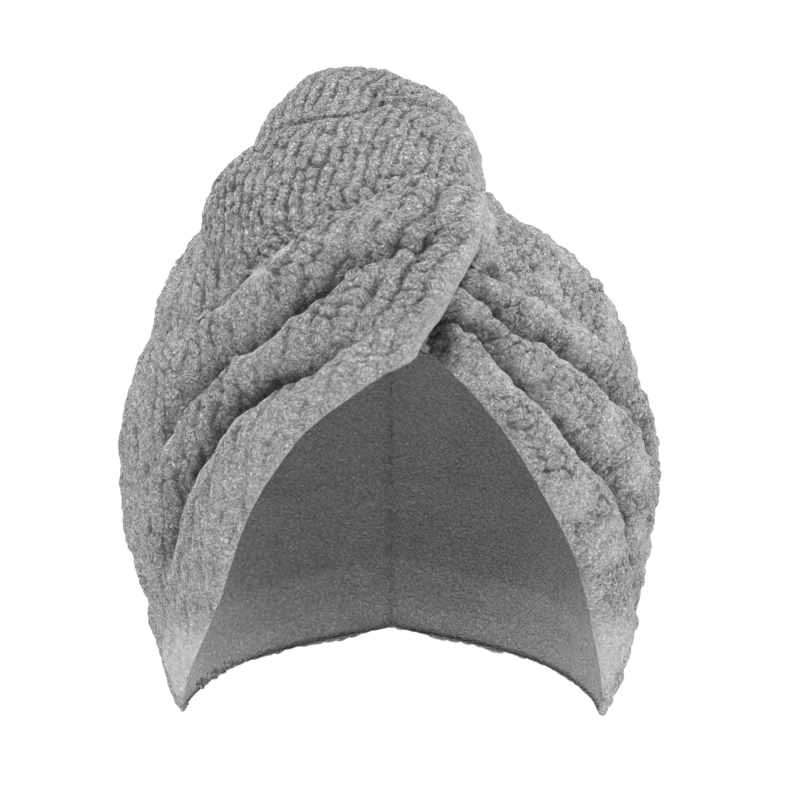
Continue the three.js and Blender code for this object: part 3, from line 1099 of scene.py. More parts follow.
    def _hem(self, rim: Array, wall: Wall) -> Array:
        """Rolls the cloth from the outside of the rim round to its inside.

        Args:
            rim: The lowest row of the outside.
            wall: The wall that the hood stands on.

        Returns:
            The rows of the roll, from the outside inwards.
        """
        inner = wall.point[0] + wall.normal[0] * wall.inside[0][:, None]
        middle = (rim + inner) / 2
        half = (rim - inner) / 2
        drop = np.minimum(np.linalg.norm(half, axis=1), self.hem_drop)
        rows = []
        for k in range(1, self.hem_steps):
            turn = math.pi * k / self.hem_steps
            row = middle + half * math.cos(turn)
            row[:, 2] -= drop * math.sin(turn)
            rows.append(row)
        return np.array(rows)

    def _zip(self, fine: list[int], coarse: list[int], turned: bool) -> list[tuple[int, ...]]:
        """Joins a line of many vertices to a line of fewer that runs beside it.

        Args:
            fine: Vertex numbers of the finer line.
            coarse: Vertex numbers of the coarser line.
            turned: True to make the faces the other way round.

        Returns:
            The faces of the strip between the two lines.
        """
        faces = []
        for k in range(len(coarse)):
            first = k * self.coarse
            last = min(first + self.coarse, len(fine) - 1)
            for i in range(first, last):
                faces.append((fine[i], coarse[k], fine[i + 1]))
            if k + 1 < len(coarse) and first < len(fine):
                faces.append((fine[last], coarse[k], coarse[k + 1]))
        return [tuple(reversed(face)) for face in faces] if turned else faces

    def nape_depth(self, z: float) -> float:
        """How far back the hood reaches beside the nape seam.

        Args:
            z: The height, in millimetres.

        Returns:
            The place on Y, in millimetres.
        """
        rows = [np.arange(fold.rows) / fold.rows for fold in self.folds]
        walls = [self.wall(band, t, np.zeros(1)) for band, t in enumerate(rows)]
        places = np.concatenate([
            (w.point + w.normal * (w.outside + self.seam_dip)[..., None])[:, 0] for w in walls
        ])
        return float(np.interp(z, places[:, 2], places[:, 1]))

    def dress(self, piece: bpy.types.Object, finish: "TowelFinish") -> None:
        """Gives the piece its material and body.

        Args:
            piece: The half's mesh.
            finish: The towelling's finish.
        """
        piece.data.materials.append(finish.material())
        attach(piece, "root")
        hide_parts(self.node)


@dataclass(frozen=True)
class Section:
    """One cross-section of the tail, in a plane turned over the head."""

    over: float
    x: float
    reach: float
    left: float
    right: float
    height: float
    sink: float


@dataclass(frozen=True)
class Twist:
    """The creases of the twist, each a turn further along the tail than the last."""

    first: float = 57
    spacing: float = 36
    count: int = 4
    level: float = 100
    right_lean: float = 0.25
    left_lean: float = 0.08
    width: float = 15
    depth: float = 0.15

    def cut(self, over: Array, around: Array) -> Array:
        """How deep the creases cut.

        Args:
            over: Degrees over the head.
            around: Degrees round the section.

        Returns:
            Depths as shares of the tail's own width.
        """
        lean = np.where(
            around < self.level,
            self.right_lean * (self.level - around),
            self.left_lean * (around - self.level),
        )
        depth = np.zeros(np.broadcast(over, around).shape)
        for k in range(self.count):
            away = np.abs(over - (self.first + self.spacing * k + lean)) / self.width
            away = np.minimum(away, 1)
            depth = np.maximum(depth, 1 - np.sqrt(away * (2 - away)))
        return self.depth * depth


@dataclass
class TwistedTail:
    """The rolled cloth that lies from the knot back over the crown to the nape."""

    name: str
    node: str
    sections: tuple[Section, ...]
    twist: Twist
    pile: Pile
    pivot_z: float = -70.0
    front_rings: int = 200
    back_rings: int = 200
    upper_sides: int = 188
    lower_sides: int = 30
    lean: float = 0.42
    crown: float = 92.0
    upper_face: Span = (-22, 202)
    middle_height: float = 0.6
    contact: Span = (0.3, 2.2)
    overlap: float = 0.6
    hang: tuple[Waves, ...] = (Waves(0.6, 30, 7), Waves(0.3, 9, 8))
    sag: float = 0.6
    left_lift: float = 2.2
    left_lift_z: Span = (18, 30)
    left_lift_x: Span = (8, 26)
    top_drop: float = 1.3
    top_drop_z: Span = (36, 44)
    top_drop_x: Span = (-16, -4)
    calm_right: float = 0.4
    calm_right_x: Span = (12, 34)
    calm_patches: float = 0.2
    patches: Waves = Waves(1.0, 34, 12)
    patch_levels: Span = (-0.2, 0.9)
    calmest: float = 0.8
    press: float = 1.5
    press_sharpness: float = 1.5
    press_flattening: float = 0.8
    # Painted shade in the twist's creases, as a share of their press.
    press_shade: float = 0.55
    press_around: Span = (88, 128)
    press_over: Span = (88, 104)
    softening: float = 0.85

    def size(self, name: str, over: Array) -> Array:
        """A named size of the section, between the rows of the table."""
        overs = tuple(row.over for row in self.sections)
        return curve_through(overs, tuple(getattr(row, name) for row in self.sections), over)

    def surface(self, over: Array, around: Array) -> Array:
        """Points of the tail.

        Args:
            over: Degrees over the head from the brow, one for each ring.
            around: Degrees round the section, one for each side.

        Returns:
            A grid of points in millimetres, rings by sides.
        """
        over, around = over[:, None], around[None, :]
        cut = 1 - self.twist.cut(over, around)
        sin, cos = np.sin(np.radians(around)), np.cos(np.radians(around))
        width = np.where(cos > 0, self.size("right", over), self.size("left", over)) * cut
        height = np.where(sin > 0, self.size("height", over) * cut, self.size("sink", over)) * sin
        reach = self.size("reach", over) + height
        x = self.size("x", over) + width * cos
        y = -reach * np.cos(np.radians(over))
        z = self.pivot_z + reach * np.sin(np.radians(over))
        return np.stack((x, y, z), axis=-1)

    def grid(self) -> tuple[Array, Array]:
        """Spreads the rings along the tail and the sides round it, closer on its upper face.

        Returns:
            Degrees over the head for each ring, and degrees round the section for each side.
        """
        first, last = self.sections[0].over, self.sections[-1].over
        over = np.concatenate((
            np.linspace(first, self.crown, self.front_rings, endpoint=False),
            np.linspace(self.crown, last, self.back_rings + 1),
        ))
        right, left = self.upper_face
        around = np.concatenate((
            np.linspace(right, left, self.upper_sides, endpoint=False),
            np.linspace(left, right + 360, self.lower_sides, endpoint=False),
        ))
        return over, around

    def swell(self, base: Array, normals: Array, free: Array) -> Array:
        """Makes the cloth lie unevenly, and lifts it a little where it turns over at its top.

        Args:
            base: Grid of the tail's points.
            normals: Its outward normals.
            free: 1 where nothing touches the cloth, down to 0 where it is pressed.

        Returns:
            The grid in its new place.
        """
        swell = sum(waves.over(base) for waves in self.hang) - self.sag
        swell = mix(self.overlap, swell, free)
        x, z = base[..., 0], base[..., 2]
        lift = self.left_lift * smooth(z, *self.left_lift_z) * smooth(-x, *self.left_lift_x)
        lift = lift - self.top_drop * smooth(z, *self.top_drop_z) * smooth(x, *self.top_drop_x)
        moved = base + normals * swell[..., None]
        moved[..., 2] += lift * free
        return moved

    def pile_height(self, base: Array, over: Array, around: Array) -> Array:
        """The pile over the whole tail, in rows that run askew along it.

        Args:
            base: Grid of the tail's points.
            over: Degrees over the head, one for each ring.
            around: Degrees round the section, one for each side.

        Returns:
            Values from 0 in the gaps to 1 on the nubs.
        """
        arc = np.cumsum(np.linalg.norm(np.diff(base, axis=1, prepend=base[:, :1]), axis=2), axis=1)
        ridge = np.argmin(np.abs(around - 90))
        across = arc - arc[:, ridge : ridge + 1] - self.size("x", over)[:, None]
        radius = self.size("reach", over) + self.middle_height * self.size("height", over)
        length = np.concatenate(([0], np.cumsum(np.radians(np.diff(over)) * radius[1:])))[:, None]
        steep = math.hypot(1, self.lean)
        return self.pile.height(
            (across + self.lean * length) / steep, (length - self.lean * across) / steep
        )

    def pressed(self, over: Array, around: Array) -> Array:
        """How far the twist's creases press the cloth in: not on the right of the brow's face.

        Args:
            over: Degrees over the head, one for each ring.
            around: Degrees round the section, one for each side.

        Returns:
            Values from 0 to 1, rings by sides.
        """
        over, around = over[:, None], around[None, :]
        press = (self.twist.cut(over, around) / self.twist.depth) ** self.press_sharpness
        return press * mix(smooth(around, *self.press_around), 1.0, smooth(over, *self.press_over))

    def build(self) -> bpy.types.Object:
        """Builds the tail as one closed mesh with its pile.

        Returns:
            The new piece.
        """
        over, around = self.grid()
        base, moved = held_within(self.surface(over, around), self.node)
        normals = grid_normals(base, wrap=True)
        outward = base - base.mean(axis=1, keepdims=True)
        facing = np.sign(np.sum(normals * outward, axis=2).mean())
        normals = normals * facing
        _, away = Neighbours("left_panel", "right_panel").nearest(base)
        free = smooth(away, *self.contact) * ~moved
        base = self.swell(base, normals, free)
        pile = self.pile_height(base, over, around)
        # Brushed pile on the tail: flatter, and lighter in colour.
        calm = self.calm_right * smooth(base[..., 0], *self.calm_right_x)
        calm = calm + self.calm_patches * smooth(self.patches.over(base), *self.patch_levels)
        calm = np.clip(calm, 0, self.calmest)
        press = self.pressed(over, around)
        relief = self.pile.relief(pile, calm) * (1 - self.press_flattening * np.sqrt(press))
        relief = (relief - self.press * press) * mix(self.pile.held, 1.0, free)
        base = base + normals * relief[..., None]
        rings, sides = base.shape[:2]
        points = np.concatenate((base.reshape(-1, 3), [base[0].mean(axis=0), base[-1].mean(axis=0)]))
        faces = loop_faces(rings, sides) + cap_faces(rings, sides)
        if facing < 0:
            faces = [tuple(reversed(face)) for face in faces]
        piece = build_mesh(self.name, points, faces)
        # The crease value is painted shade in the twist's creases.
        shown = (
            ("pile", softened(pile, calm, self.softening), 0.8),
            ("calm", calm, 0.6),
            ("crease", self.press_shade * press, 0.0),
        )
        for name, values, at_ends in shown:
            add_values(piece, name, np.concatenate((values.ravel(), [at_ends] * 2)))
        return piece

    def dress(self, piece: bpy.types.Object, finish: "TowelFinish") -> None:
        """Gives the piece its material and body.

        Args:
            piece: The tail's mesh.
            finish: The towelling's finish.
        """
        piece.data.materials.append(finish.material())
        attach(piece, "root")
        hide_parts(self.node)


@dataclass(frozen=True)
class Ramp:
    """A range of values and the range that it is carried to."""

    low: float
    high: float
    at_low: float
    at_high: float

    def inputs(self) -> dict[str, float]:
        """The four ends by the names of the node's sockets."""
        return dict(zip(("From Min", "From Max", "To Min", "To Max"), vars(self).values()))


def shaded(colour: Colour, share: float) -> Colour:
    """The colour, made lighter or darker by a factor."""
    return tuple(part * share for part in colour)


class Bench:
    """A material's node tree with short ways to add nodes to it and join them."""

    def __init__(self, name: str) -> None:
        """Starts an empty material.

        Args:
            name: The material's name.
        """
        self.material = bpy.data.materials.new(name)
        self.material.use_nodes = True
        self.tree = self.material.node_tree
        self.tree.nodes.clear()

    def add(self, kind: str, inputs: dict[str, object] | None = None, **settings: object) -> bpy.types.Node:
        """Adds a node.

        Args:
            kind: Blender's name for the node's type, without its ShaderNode start.
            inputs: Socket names with a value, or with another node's output to join.
            settings: Properties of the node itself.

        Returns:
            The new node.
        """
        node = self.tree.nodes.new("ShaderNode" + kind)
        for name, value in settings.items():
            setattr(node, name, value)
        for name, value in (inputs or {}).items():
            socket = node.inputs[name]
            if isinstance(value, bpy.types.NodeSocket):
                self.tree.links.new(value, socket)
            else:
                socket.default_value = value
        return node

    def attribute(self, name: str) -> bpy.types.NodeSocket:
        """Reads a number that the mesh stores for each of its vertices."""
        return self.add("Attribute", attribute_name=name, attribute_type="GEOMETRY").outputs["Fac"]

    def maths(self, operation: str, first: object, second: object = 0.0) -> bpy.types.NodeSocket:
        """Does one sum on one or two values."""
        return self.add("Math", {0: first, 1: second}, operation=operation).outputs[0]

    def noise(
        self, place: object, scale: float, output: str = "Fac", **inputs: float
    ) -> bpy.types.NodeSocket:
        """Makes a cloudy pattern.

        Args:
            place: Socket of the place.
            scale: How many of its cells there are in a metre.
            output: Which of the pattern's outputs is wanted.
            inputs: Values of its other sockets.

        Returns:
            The pattern's socket.
        """
        return self.add("TexNoise", {"Vector": place, "Scale": scale, **inputs}).outputs[output]

    def ramp(self, value: object, ramp: Ramp) -> bpy.types.NodeSocket:
        """Carries a value from one range to another, with soft ends."""
        inputs = {"Value": value, **ramp.inputs()}
        return self.add("MapRange", inputs, interpolation_type="SMOOTHSTEP").outputs[0]

    def blend(self, share: object, first: object, second: object) -> bpy.types.NodeSocket:
        """Mixes two colours.

        Args:
            share: How much of the second colour there is.
            first: A colour, or the socket of one.
            second: A colour, or the socket of one.

        Returns:
            The mixed colour's socket.
        """
        first, second = ((*c, 1.0) if isinstance(c, tuple) else c for c in (first, second))
        return self.add("Mix", {0: share, 6: first, 7: second}, data_type="RGBA").outputs[2]

    def bump(
        self,
        height: object,
        depth: object,
        normal: object = None,
        invert: bool = False,
        strength: float = 1.0,
    ) -> bpy.types.NodeSocket:
        """Roughens the surface.

        Args:
            height: Socket of the pattern.
            depth: Metres that a full step of the pattern stands for.
            normal: Normal that earlier bumps gave, if any.
            invert: True where high values lie deep.
            strength: Share of the bump that shows.

        Returns:
            The new normal's socket.
        """
        inputs = {"Strength": strength, "Distance": depth, "Height": height}
        if normal is not None:
            inputs["Normal"] = normal
        return self.add("Bump", inputs, invert=invert).outputs[0]

    def finish(self, shader: bpy.types.Node) -> bpy.types.Material:
        """Joins the shader to the output and hands the material over."""
        self.add("OutputMaterial", {"Surface": shader.outputs[0]})
        return self.material


@dataclass(frozen=True)
class TowelFinish:
    """Grey nubbed fleece: light nubs of curled fibre, painted shade in their gaps, brushed crests whose
    lighter colour is a painted highlight, and a soft sheen.
    """

    name: str = "towel_pile"
    tip: Colour = (0.314, 0.314, 0.316)
    # Tone of brushed pile, which shows lighter for having less painted shade in its curls: a painted
    # highlight along the crests.
    brushed: Colour = (0.29, 0.29, 0.292)
    # Painted shade: the colour in the pile's gaps, where shade falls between the nubs.
    painted_gap_shade: Colour = (0.075, 0.075, 0.076)
    curl_size: float = 1.2
    strand_size: float = 1.0
    fibre_size: float = 0.5
    curl_depth: float = 1.0
    strand_depth: float = 0.5
    fibre_depth: float = 0.27
    sheen: float = 0.3
    brightest: float = 1.18
    crease_roughness: float = 0.5
    rough_by_calm: Ramp = Ramp(0.15, 0.8, 1.0, 0.3)
    shade_by_curl: Ramp = Ramp(0.25, 0.8, 0.0, 0.5)
    shade_by_strand: Ramp = Ramp(0.0, 0.05, 0.5, 0.0)
    grain_by_fibre: Ramp = Ramp(0.3, 0.7, -0.14, 0.14)
    light_by_mottle: Ramp = Ramp(0.3, 0.7, 0.95, 1.05)
    # Painted shade: how far the crease value darkens the colour.
    painted_crease_shade: Ramp = Ramp(0.1, 1.0, 1.0, 0.34)
    nub_by_pile: Ramp = Ramp(0.15, 0.72, 0.0, 1.0)
    height_by_strand: Ramp = Ramp(0.0, 0.12, 0.0, 1.0)

    def _place(self, bench: Bench) -> bpy.types.NodeSocket:
        """Finds the place on the cloth, bent a little so that no pattern on it looks regular.

        Args:
            bench: The material that is being made.

        Returns:
            The bent place's socket.
        """
        place = bench.add("TexCoord").outputs["Object"]
        warp = bench.noise(place, 480.0, Detail=1.0, output="Color")
        shift = bench.add("VectorMath", {0: warp, 1: (0.5, 0.5, 0.5)}, operation="SUBTRACT")
        bend = {0: shift.outputs[0], 1: (0.0022, 0.0022, 0.0022), 2: place}
        return bench.add("VectorMath", bend, operation="MULTIPLY_ADD").outputs[0]

    def material(self) -> bpy.types.Material:
        """Builds the material, or returns the one that is there already.

        Returns:
            The towelling's material.
        """
        if self.name in bpy.data.materials:
            return bpy.data.materials[self.name]
        bench = Bench(self.name)
        place = self._place(bench)
        curls = bench.add(
            "TexVoronoi", {"Vector": place, "Scale": 1 / (self.curl_size * MM)}, feature="F1"
        ).outputs["Distance"]
        strands = bench.noise(place, 1 / (self.strand_size * MM), Detail=1.0, Distortion=0.6)
        strands = bench.maths("ABSOLUTE", bench.maths("SUBTRACT", strands, 0.5))
        fibres = bench.noise(place, 1 / (self.fibre_size * MM), Detail=3.0, Roughness=0.7)
        mottle = bench.noise(place, 60.0, Detail=3.0)
        # The crease value is painted shade in creases, tucks and the crevice under the knot.
        crease = bench.attribute("crease")
        # Brushed pile is less rough: shallower bumps, and less painted shade in its curls, so a lighter
        # colour that is a painted highlight along the crests.
        rough = bench.ramp(bench.attribute("calm"), self.rough_by_calm)
        rough = bench.maths("ADD", rough, bench.maths("MULTIPLY", crease, self.crease_roughness))
        # Painted shade in the hollows of the curls and strands, less where the pile is brushed.
        curl_shade = bench.ramp(curls, self.shade_by_curl)
        strand_shade = bench.ramp(strands, self.shade_by_strand)
        shade = bench.maths("MULTIPLY", bench.maths("ADD", curl_shade, strand_shade), rough)
        light = bench.maths("SUBTRACT", self.brightest, shade)
        grain = bench.maths("MULTIPLY", bench.ramp(fibres, self.grain_by_fibre), rough)
        light = bench.maths("MULTIPLY", light, bench.maths("ADD", grain, 1.0))
        light = bench.maths("MULTIPLY", light, bench.ramp(mottle, self.light_by_mottle))
        # Painted shade in the creases darkens the colour.
        light = bench.maths("MULTIPLY", light, bench.ramp(crease, self.painted_crease_shade))
        normal = None
        for pattern, size, deep_side in (
            (curls, self.curl_depth, True),
            (bench.ramp(strands, self.height_by_strand), self.strand_depth, False),
            (fibres, self.fibre_depth, False),
        ):
            depth = bench.maths("MULTIPLY", rough, size * MM)
            normal = bench.bump(pattern, depth, normal=normal, invert=deep_side)
        shader = bench.add(
            "BsdfPrincipled",
            {"Base Color": self._colour(bench, light), "Roughness": 0.95, "Specular IOR Level": 0.12,
             "Sheen Weight": self.sheen, "Sheen Roughness": 0.5, "Normal": normal},
        )
        return bench.finish(shader)

    def _colour(self, bench: Bench, light: bpy.types.NodeSocket) -> bpy.types.NodeSocket:
        """Colours the cloth by how high its pile stands, with painted shade in its gaps, and by how brushed
        it lies.

        Args:
            bench: The material that is being made.
            light: Socket of the factor that lightens or darkens the colour, with the painted shade of
                curls, strands and creases.

        Returns:
            The colour's socket.
        """
        # Brushed pile takes its own tone.
        nub = bench.blend(bench.attribute("calm"), self.tip, self.brushed)
        # Painted shade in the pile's gaps.
        colour = bench.blend(bench.ramp(bench.attribute("pile"), self.nub_by_pile), self.painted_gap_shade, nub)
        return bench.add("VectorMath", {0: colour, "Scale": light}, operation="SCALE").outputs[0]


@dataclass(frozen=True)
class ElasticFinish:
    """Grey braided elastic: fine diagonal ribs round the cord, with painted shade in the grooves between
    them.
    """

    name: str = "elastic_braid"
    colour: Colour = (0.25, 0.25, 0.258)
    painted_groove_shade: float = 0.6
    rib: float = 0.9
    bands_at_one: float = 3.2
    rib_depth: float = 0.25

    def material(self) -> bpy.types.Material:
        """Builds the material.

        Returns:
            The elastic's material.
        """
        bench = Bench(self.name)
        ribs = bench.add(
            "TexWave",
            {"Vector": bench.add("TexCoord").outputs["Object"],
             "Scale": 1 / (self.rib * MM) / self.bands_at_one,
             "Distortion": 1.5, "Detail": 1.0, "Detail Scale": 2.0},
            wave_type="BANDS",
            bands_direction="DIAGONAL",
        ).outputs["Fac"]
        # Painted shade: the grooves between the ribs are darker.
        colour = bench.blend(ribs, shaded(self.colour, self.painted_groove_shade), self.colour)
        normal = bench.bump(ribs, self.rib_depth * MM, strength=0.8)
        shader = bench.add(
            "BsdfPrincipled",
            {"Base Color": colour, "Roughness": 0.7, "Sheen Weight": 0.3, "Normal": normal},
        )
        return bench.finish(shader)


@dataclass(frozen=True)
class ButtonFinish:
    """Grey moulded plastic with a satin face and faint swirls."""

    name: str = "button_plastic"
    colour: Colour = (0.2, 0.2, 0.205)
    dark: float = 0.85
    light: float = 1.15
    roughness: Span = (0.38, 0.52)

    def material(self) -> bpy.types.Material:
        """Builds the material.

        Returns:
            The button's material.
        """
        bench = Bench(self.name)
        place = bench.add("TexCoord").outputs["Object"]
        swirl = bench.noise(place, 180.0, Detail=4.0, Distortion=1.6)
        colour = bench.blend(swirl, shaded(self.colour, self.dark), shaded(self.colour, self.light))
        smoothest, dullest = self.roughness
        dull = bench.add("MapRange", {"Value": swirl, "To Min": smoothest, "To Max": dullest})
        return bench.finish(
            bench.add("BsdfPrincipled", {"Base Color": colour, "Roughness": dull.outputs[0]})
        )


@dataclass
class NapeFastening:
    """The button at the nape and the elastic loop that goes over it."""

    z: float = -136.0
    lean: float = 13.2
    clearance: float = 0.6
    radius: float = 11.0
    thickness: float = 3.6
    rim_radius: float = 1.4
    rim_steps: int = 6
    face: tuple[tuple[float, float], ...] = ((8.6, 0.25), (7.6, 0.9), (3.0, 1.0))
    button_sides: int = 72
    cord_sides: int = 20
    cord_steps: int = 30
    shank_radius: float = 4.0
    shank_length: float = 4.6
    cord_radius: float = 1.5
    cord_clearance: float = 0.45
    legs: float = 24.0

    def seat(self, hood: HoodHalf) -> Matrix:
        """The fastening's own frame on the nape, with Y straight out of the cloth."""
        place = Vector((0, hood.nape_depth(self.z) + self.clearance, self.z)) * MM
        return Matrix.Translation(place) @ Matrix.Rotation(-math.radians(self.lean), 4, "X")

    def build(self, hood: HoodHalf) -> tuple[bpy.types.Object, bpy.types.Object]:
        """Builds the button and then the loop, in their places on the hood's nape."""
        seat = self.seat(hood)
        return self.button(seat), self.loop(seat)

    def button(self, seat: Matrix) -> bpy.types.Object:
        """Turns the button about its shank.

        Args:
            seat: The fastening's frame.

        Returns:
            The button's piece.
        """
        base, top = self.shank_length, self.shank_length + self.thickness
        profile = [(self.shank_radius, 0.0), (self.shank_radius, base)]
        for middle, start in ((base + self.rim_radius, -90), (top - self.rim_radius, 0)):
            for k in range(self.rim_steps + 1):
                turn = math.radians(start + 90 / self.rim_steps * k)
                reach = self.radius - self.rim_radius + self.rim_radius * math.cos(turn)
                profile.append((reach, middle + self.rim_radius * math.sin(turn)))
        profile += [(reach, top - drop) for reach, drop in self.face]
        sides = self.button_sides
        turns = np.linspace(0, 2 * math.pi, sides, endpoint=False)
        rings = [
            np.stack((reach * np.cos(turns), np.full(sides, y), -reach * np.sin(turns)), axis=-1)
            for reach, y in profile
        ]
        points = np.concatenate((*rings, [[0, 0, 0], [0, profile[-1][1], 0]]))
        faces = loop_faces(len(rings), sides) + cap_faces(len(rings), sides)
        piece = build_mesh("button", points, faces)
        piece.data.transform(seat)
        piece.data.materials.append(ButtonFinish().material())
        return piece

    def loop(self, seat: Matrix) -> bpy.types.Object:
        """Sweeps the elastic down one leg, round the shank and up the other.

        Args:
            seat: The fastening's frame.

        Returns:
            The loop's piece.
        """
        bend = self.shank_radius + self.cord_radius + self.cord_clearance
        away = self.cord_radius + self.cord_clearance
        legs = np.linspace(self.legs, 0, self.cord_steps, endpoint=False)
        turns = np.linspace(0, math.pi, self.cord_steps + 1)
        line = [(-bend, z) for z in legs]
        line += [(-bend * math.cos(t), -bend * math.sin(t)) for t in turns]
        line += [(bend, z) for z in reversed(legs)]
        path = np.array([(x, away, z) for x, z in line])
        ahead = np.gradient(path, axis=0)
        ahead /= np.linalg.norm(ahead, axis=1, keepdims=True)
        out = np.array([0.0, 1.0, 0.0])
        beside = np.cross(ahead, out)
        sides = self.cord_sides
        angles = np.linspace(0, 2 * math.pi, sides, endpoint=False)
        ring = np.cos(angles)[None, :, None] * out + np.sin(angles)[None, :, None] * beside[:, None]
        points = path[:, None] + self.cord_radius * ring
        points = np.concatenate((points.reshape(-1, 3), path[[0, -1]]))
        faces = loop_faces(len(path), sides) + cap_faces(len(path), sides)
        piece = build_mesh("elastic_cord", points, faces)
        piece.data.transform(seat)
        piece.data.materials.append(ElasticFinish().material())
        return piece

    def dress(self, button: bpy.types.Object, loop: bpy.types.Object) -> None:
        """Puts both pieces on the body in the places of their solids.

        Args:
            button: The button's piece.
            loop: The loop's piece.
        """
        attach(button, "root")
        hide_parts("nape_button")
        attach(loop, "root")
        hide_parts("elastic_loop")


@dataclass(frozen=True)
class Lamp:
    """One soft box: where it stands, how wide it is and how bright."""

    name: str
    place: tuple[float, float, float]
    size: float
    power: float


@dataclass
class Studio:
    """A white surround, a pale floor, soft boxes and the camera."""

    camera_distance: float = 2.0
    frame_width: float = 0.28
    centre_x: float = 0.00315
    centre_z: float = -0.07
    sensor: float = 36.0
    floor_z: float = -1.2
    floor_half: float = 12.0
    surround: float = 1.0
    below: float = 0.45
    horizon: Span = (-0.35, -0.12)
    paper: float = 0.93
    lamps: tuple[Lamp, ...] = (
        Lamp("top_box", (-0.1, -0.55, 1.3), 0.9, 22.0),
        Lamp("left_box", (-1.3, -0.7, -0.2), 0.8, 16.0),
        Lamp("right_box", (1.3, -0.7, -0.1), 0.8, 20.0),
    )

    def camera(self) -> None:
        """Sets the camera level with the hood's middle, as the picture was taken."""
        data = bpy.data.cameras.new("studio_camera")
        data.sensor_width = self.sensor
        data.lens = self.sensor * self.camera_distance / self.frame_width
        camera = bpy.data.objects.new("studio_camera", data)
        camera.location = (self.centre_x, -self.camera_distance, self.centre_z)
        camera.rotation_euler = (math.pi / 2, 0, 0)
        bpy.context.scene.collection.objects.link(camera)
        bpy.context.scene.camera = camera

    def light(self) -> None:
        """Hangs the soft boxes and aims each one at the hood."""
        for lamp in self.lamps:
            data = bpy.data.lights.new(lamp.name, "AREA")
            data.size = lamp.size
            data.energy = lamp.power
            box = bpy.data.objects.new(lamp.name, data)
            box.location = lamp.place
            aim = Vector((0, 0, self.centre_z)) - Vector(lamp.place)
            box.rotation_euler = aim.to_track_quat("-Z", "Y").to_euler()
            bpy.context.scene.collection.objects.link(box)

    def surroundings(self) -> None:
        """Makes the white surround, which is dimmer from below."""
        world = bpy.data.worlds.new("studio")
        world.use_nodes = True
        tree = world.node_tree
        tree.nodes.clear()
        place, split, ramp, back, out = (
            tree.nodes.new("ShaderNode" + kind)
            for kind in ("TexCoord", "SeparateXYZ", "MapRange", "Background", "OutputWorld")
        )
        low, high = self.horizon
        levels = {"From Min": low, "From Max": high, "To Min": self.below, "To Max": self.surround}
        for name, value in levels.items():
            ramp.inputs[name].default_value = value
        back.inputs["Color"].default_value = (1, 1, 1, 1)
        tree.links.new(place.outputs["Generated"], split.inputs[0])
        tree.links.new(split.outputs["Z"], ramp.inputs["Value"])
        tree.links.new(ramp.outputs[0], back.inputs["Strength"])
        tree.links.new(back.outputs[0], out.inputs["Surface"])
        bpy.context.scene.world = world

    def floor(self) -> None:
        """Lays the pale floor."""
        half, z = self.floor_half / MM, self.floor_z / MM
        corners = np.array([[-half, -half, z], [half, -half, z], [half, half, z], [-half, half, z]])
        plane = build_mesh("studio_floor", corners, [(0, 1, 2, 3)])
        bench = Bench("studio_paper")
        colour = (self.paper, self.paper, self.paper, 1)
        shader = bench.add("BsdfPrincipled", {"Base Color": colour, "Roughness": 0.9})
        plane.data.materials.append(bench.finish(shader))

    def build(self) -> None:
        """Sets the whole studio up."""
        bpy.context.scene.view_settings.view_transform = "Standard"
        self.camera()
        self.light()
        self.surroundings()
        self.floor()


LEFT_HALF = HoodHalf(
    name="left_hood_cloth",
    node="left_panel",
    side=Side.LEFT,
    azimuths=(-180, -140, -110, -90, -75, -60, -45, -30, -15, 0, 10, 22),
    folds=(
        Fold("rim", 6, (-54, -65, -75, -79, -73, -60, -39.5, -5.5, 23, 39.5, 44.5, 46),
             Quarters(5.5, 7, 6.5), Quarters(11, 9.5, 9.5), 30),
        Fold("lower_sweep", 10, (-30, -42, -54, -57, -52, -31, 3, 25, 38, 47, 52, 54),
             Quarters(5.5, 9, 8), Quarters(12.5, 12, 10.5), 51, Quarters(2.4, -0.3, 0.0)),
        Fold("middle_sweep", 19, (-2, -12, -22, -22, -11, 5, 30, 44, 56, 65.5, 68, 70),
             Quarters(5, 11, 8.5), Quarters(14, 13.5, 11.5), 72, Quarters(3.0, -1.0, 0.1)),
        Fold("upper_sweep", 24, (48, 45, 47, 50, 50, 51, 54, 65, 75, 83, 86, 87),
             Quarters(8, 8.5, 9), Quarters(11, 12, 11), 57, Quarters(2.0, -1.2, 0.2)),
        Fold("dome", 0, (96, 92, 90, 90, 91, 92, 94, 98, 102, 106, 108, 109),
             Quarters(10, 11.5, 10.5), Quarters(11, 11.5, 11), 54),
    ),
    rises=(
        Rise(21, 4, 44, 30, 78, 82, 126),
        Rise(6, -85, 50, 25, 70, 80, 125),
        Rise(3, -70, 34, 60, 92, 98, 140),
    ),
    chart=Chart(lean=0.5, fan=0.0035),
    back_chart=Chart(lean=-0.4, fan=0.0034, centre=-180),
    pile=Pile(seed=3),
    calm_patches=0.3,
    flat=(0.25, 0.3),
    cloth_area=0.055,
    neighbours=("right_panel", "twisted_tail"),
    presses=(Press(2.4, -85, 24, -38, 8), Press(-1.6, -85, 24, -15, 8)),
)

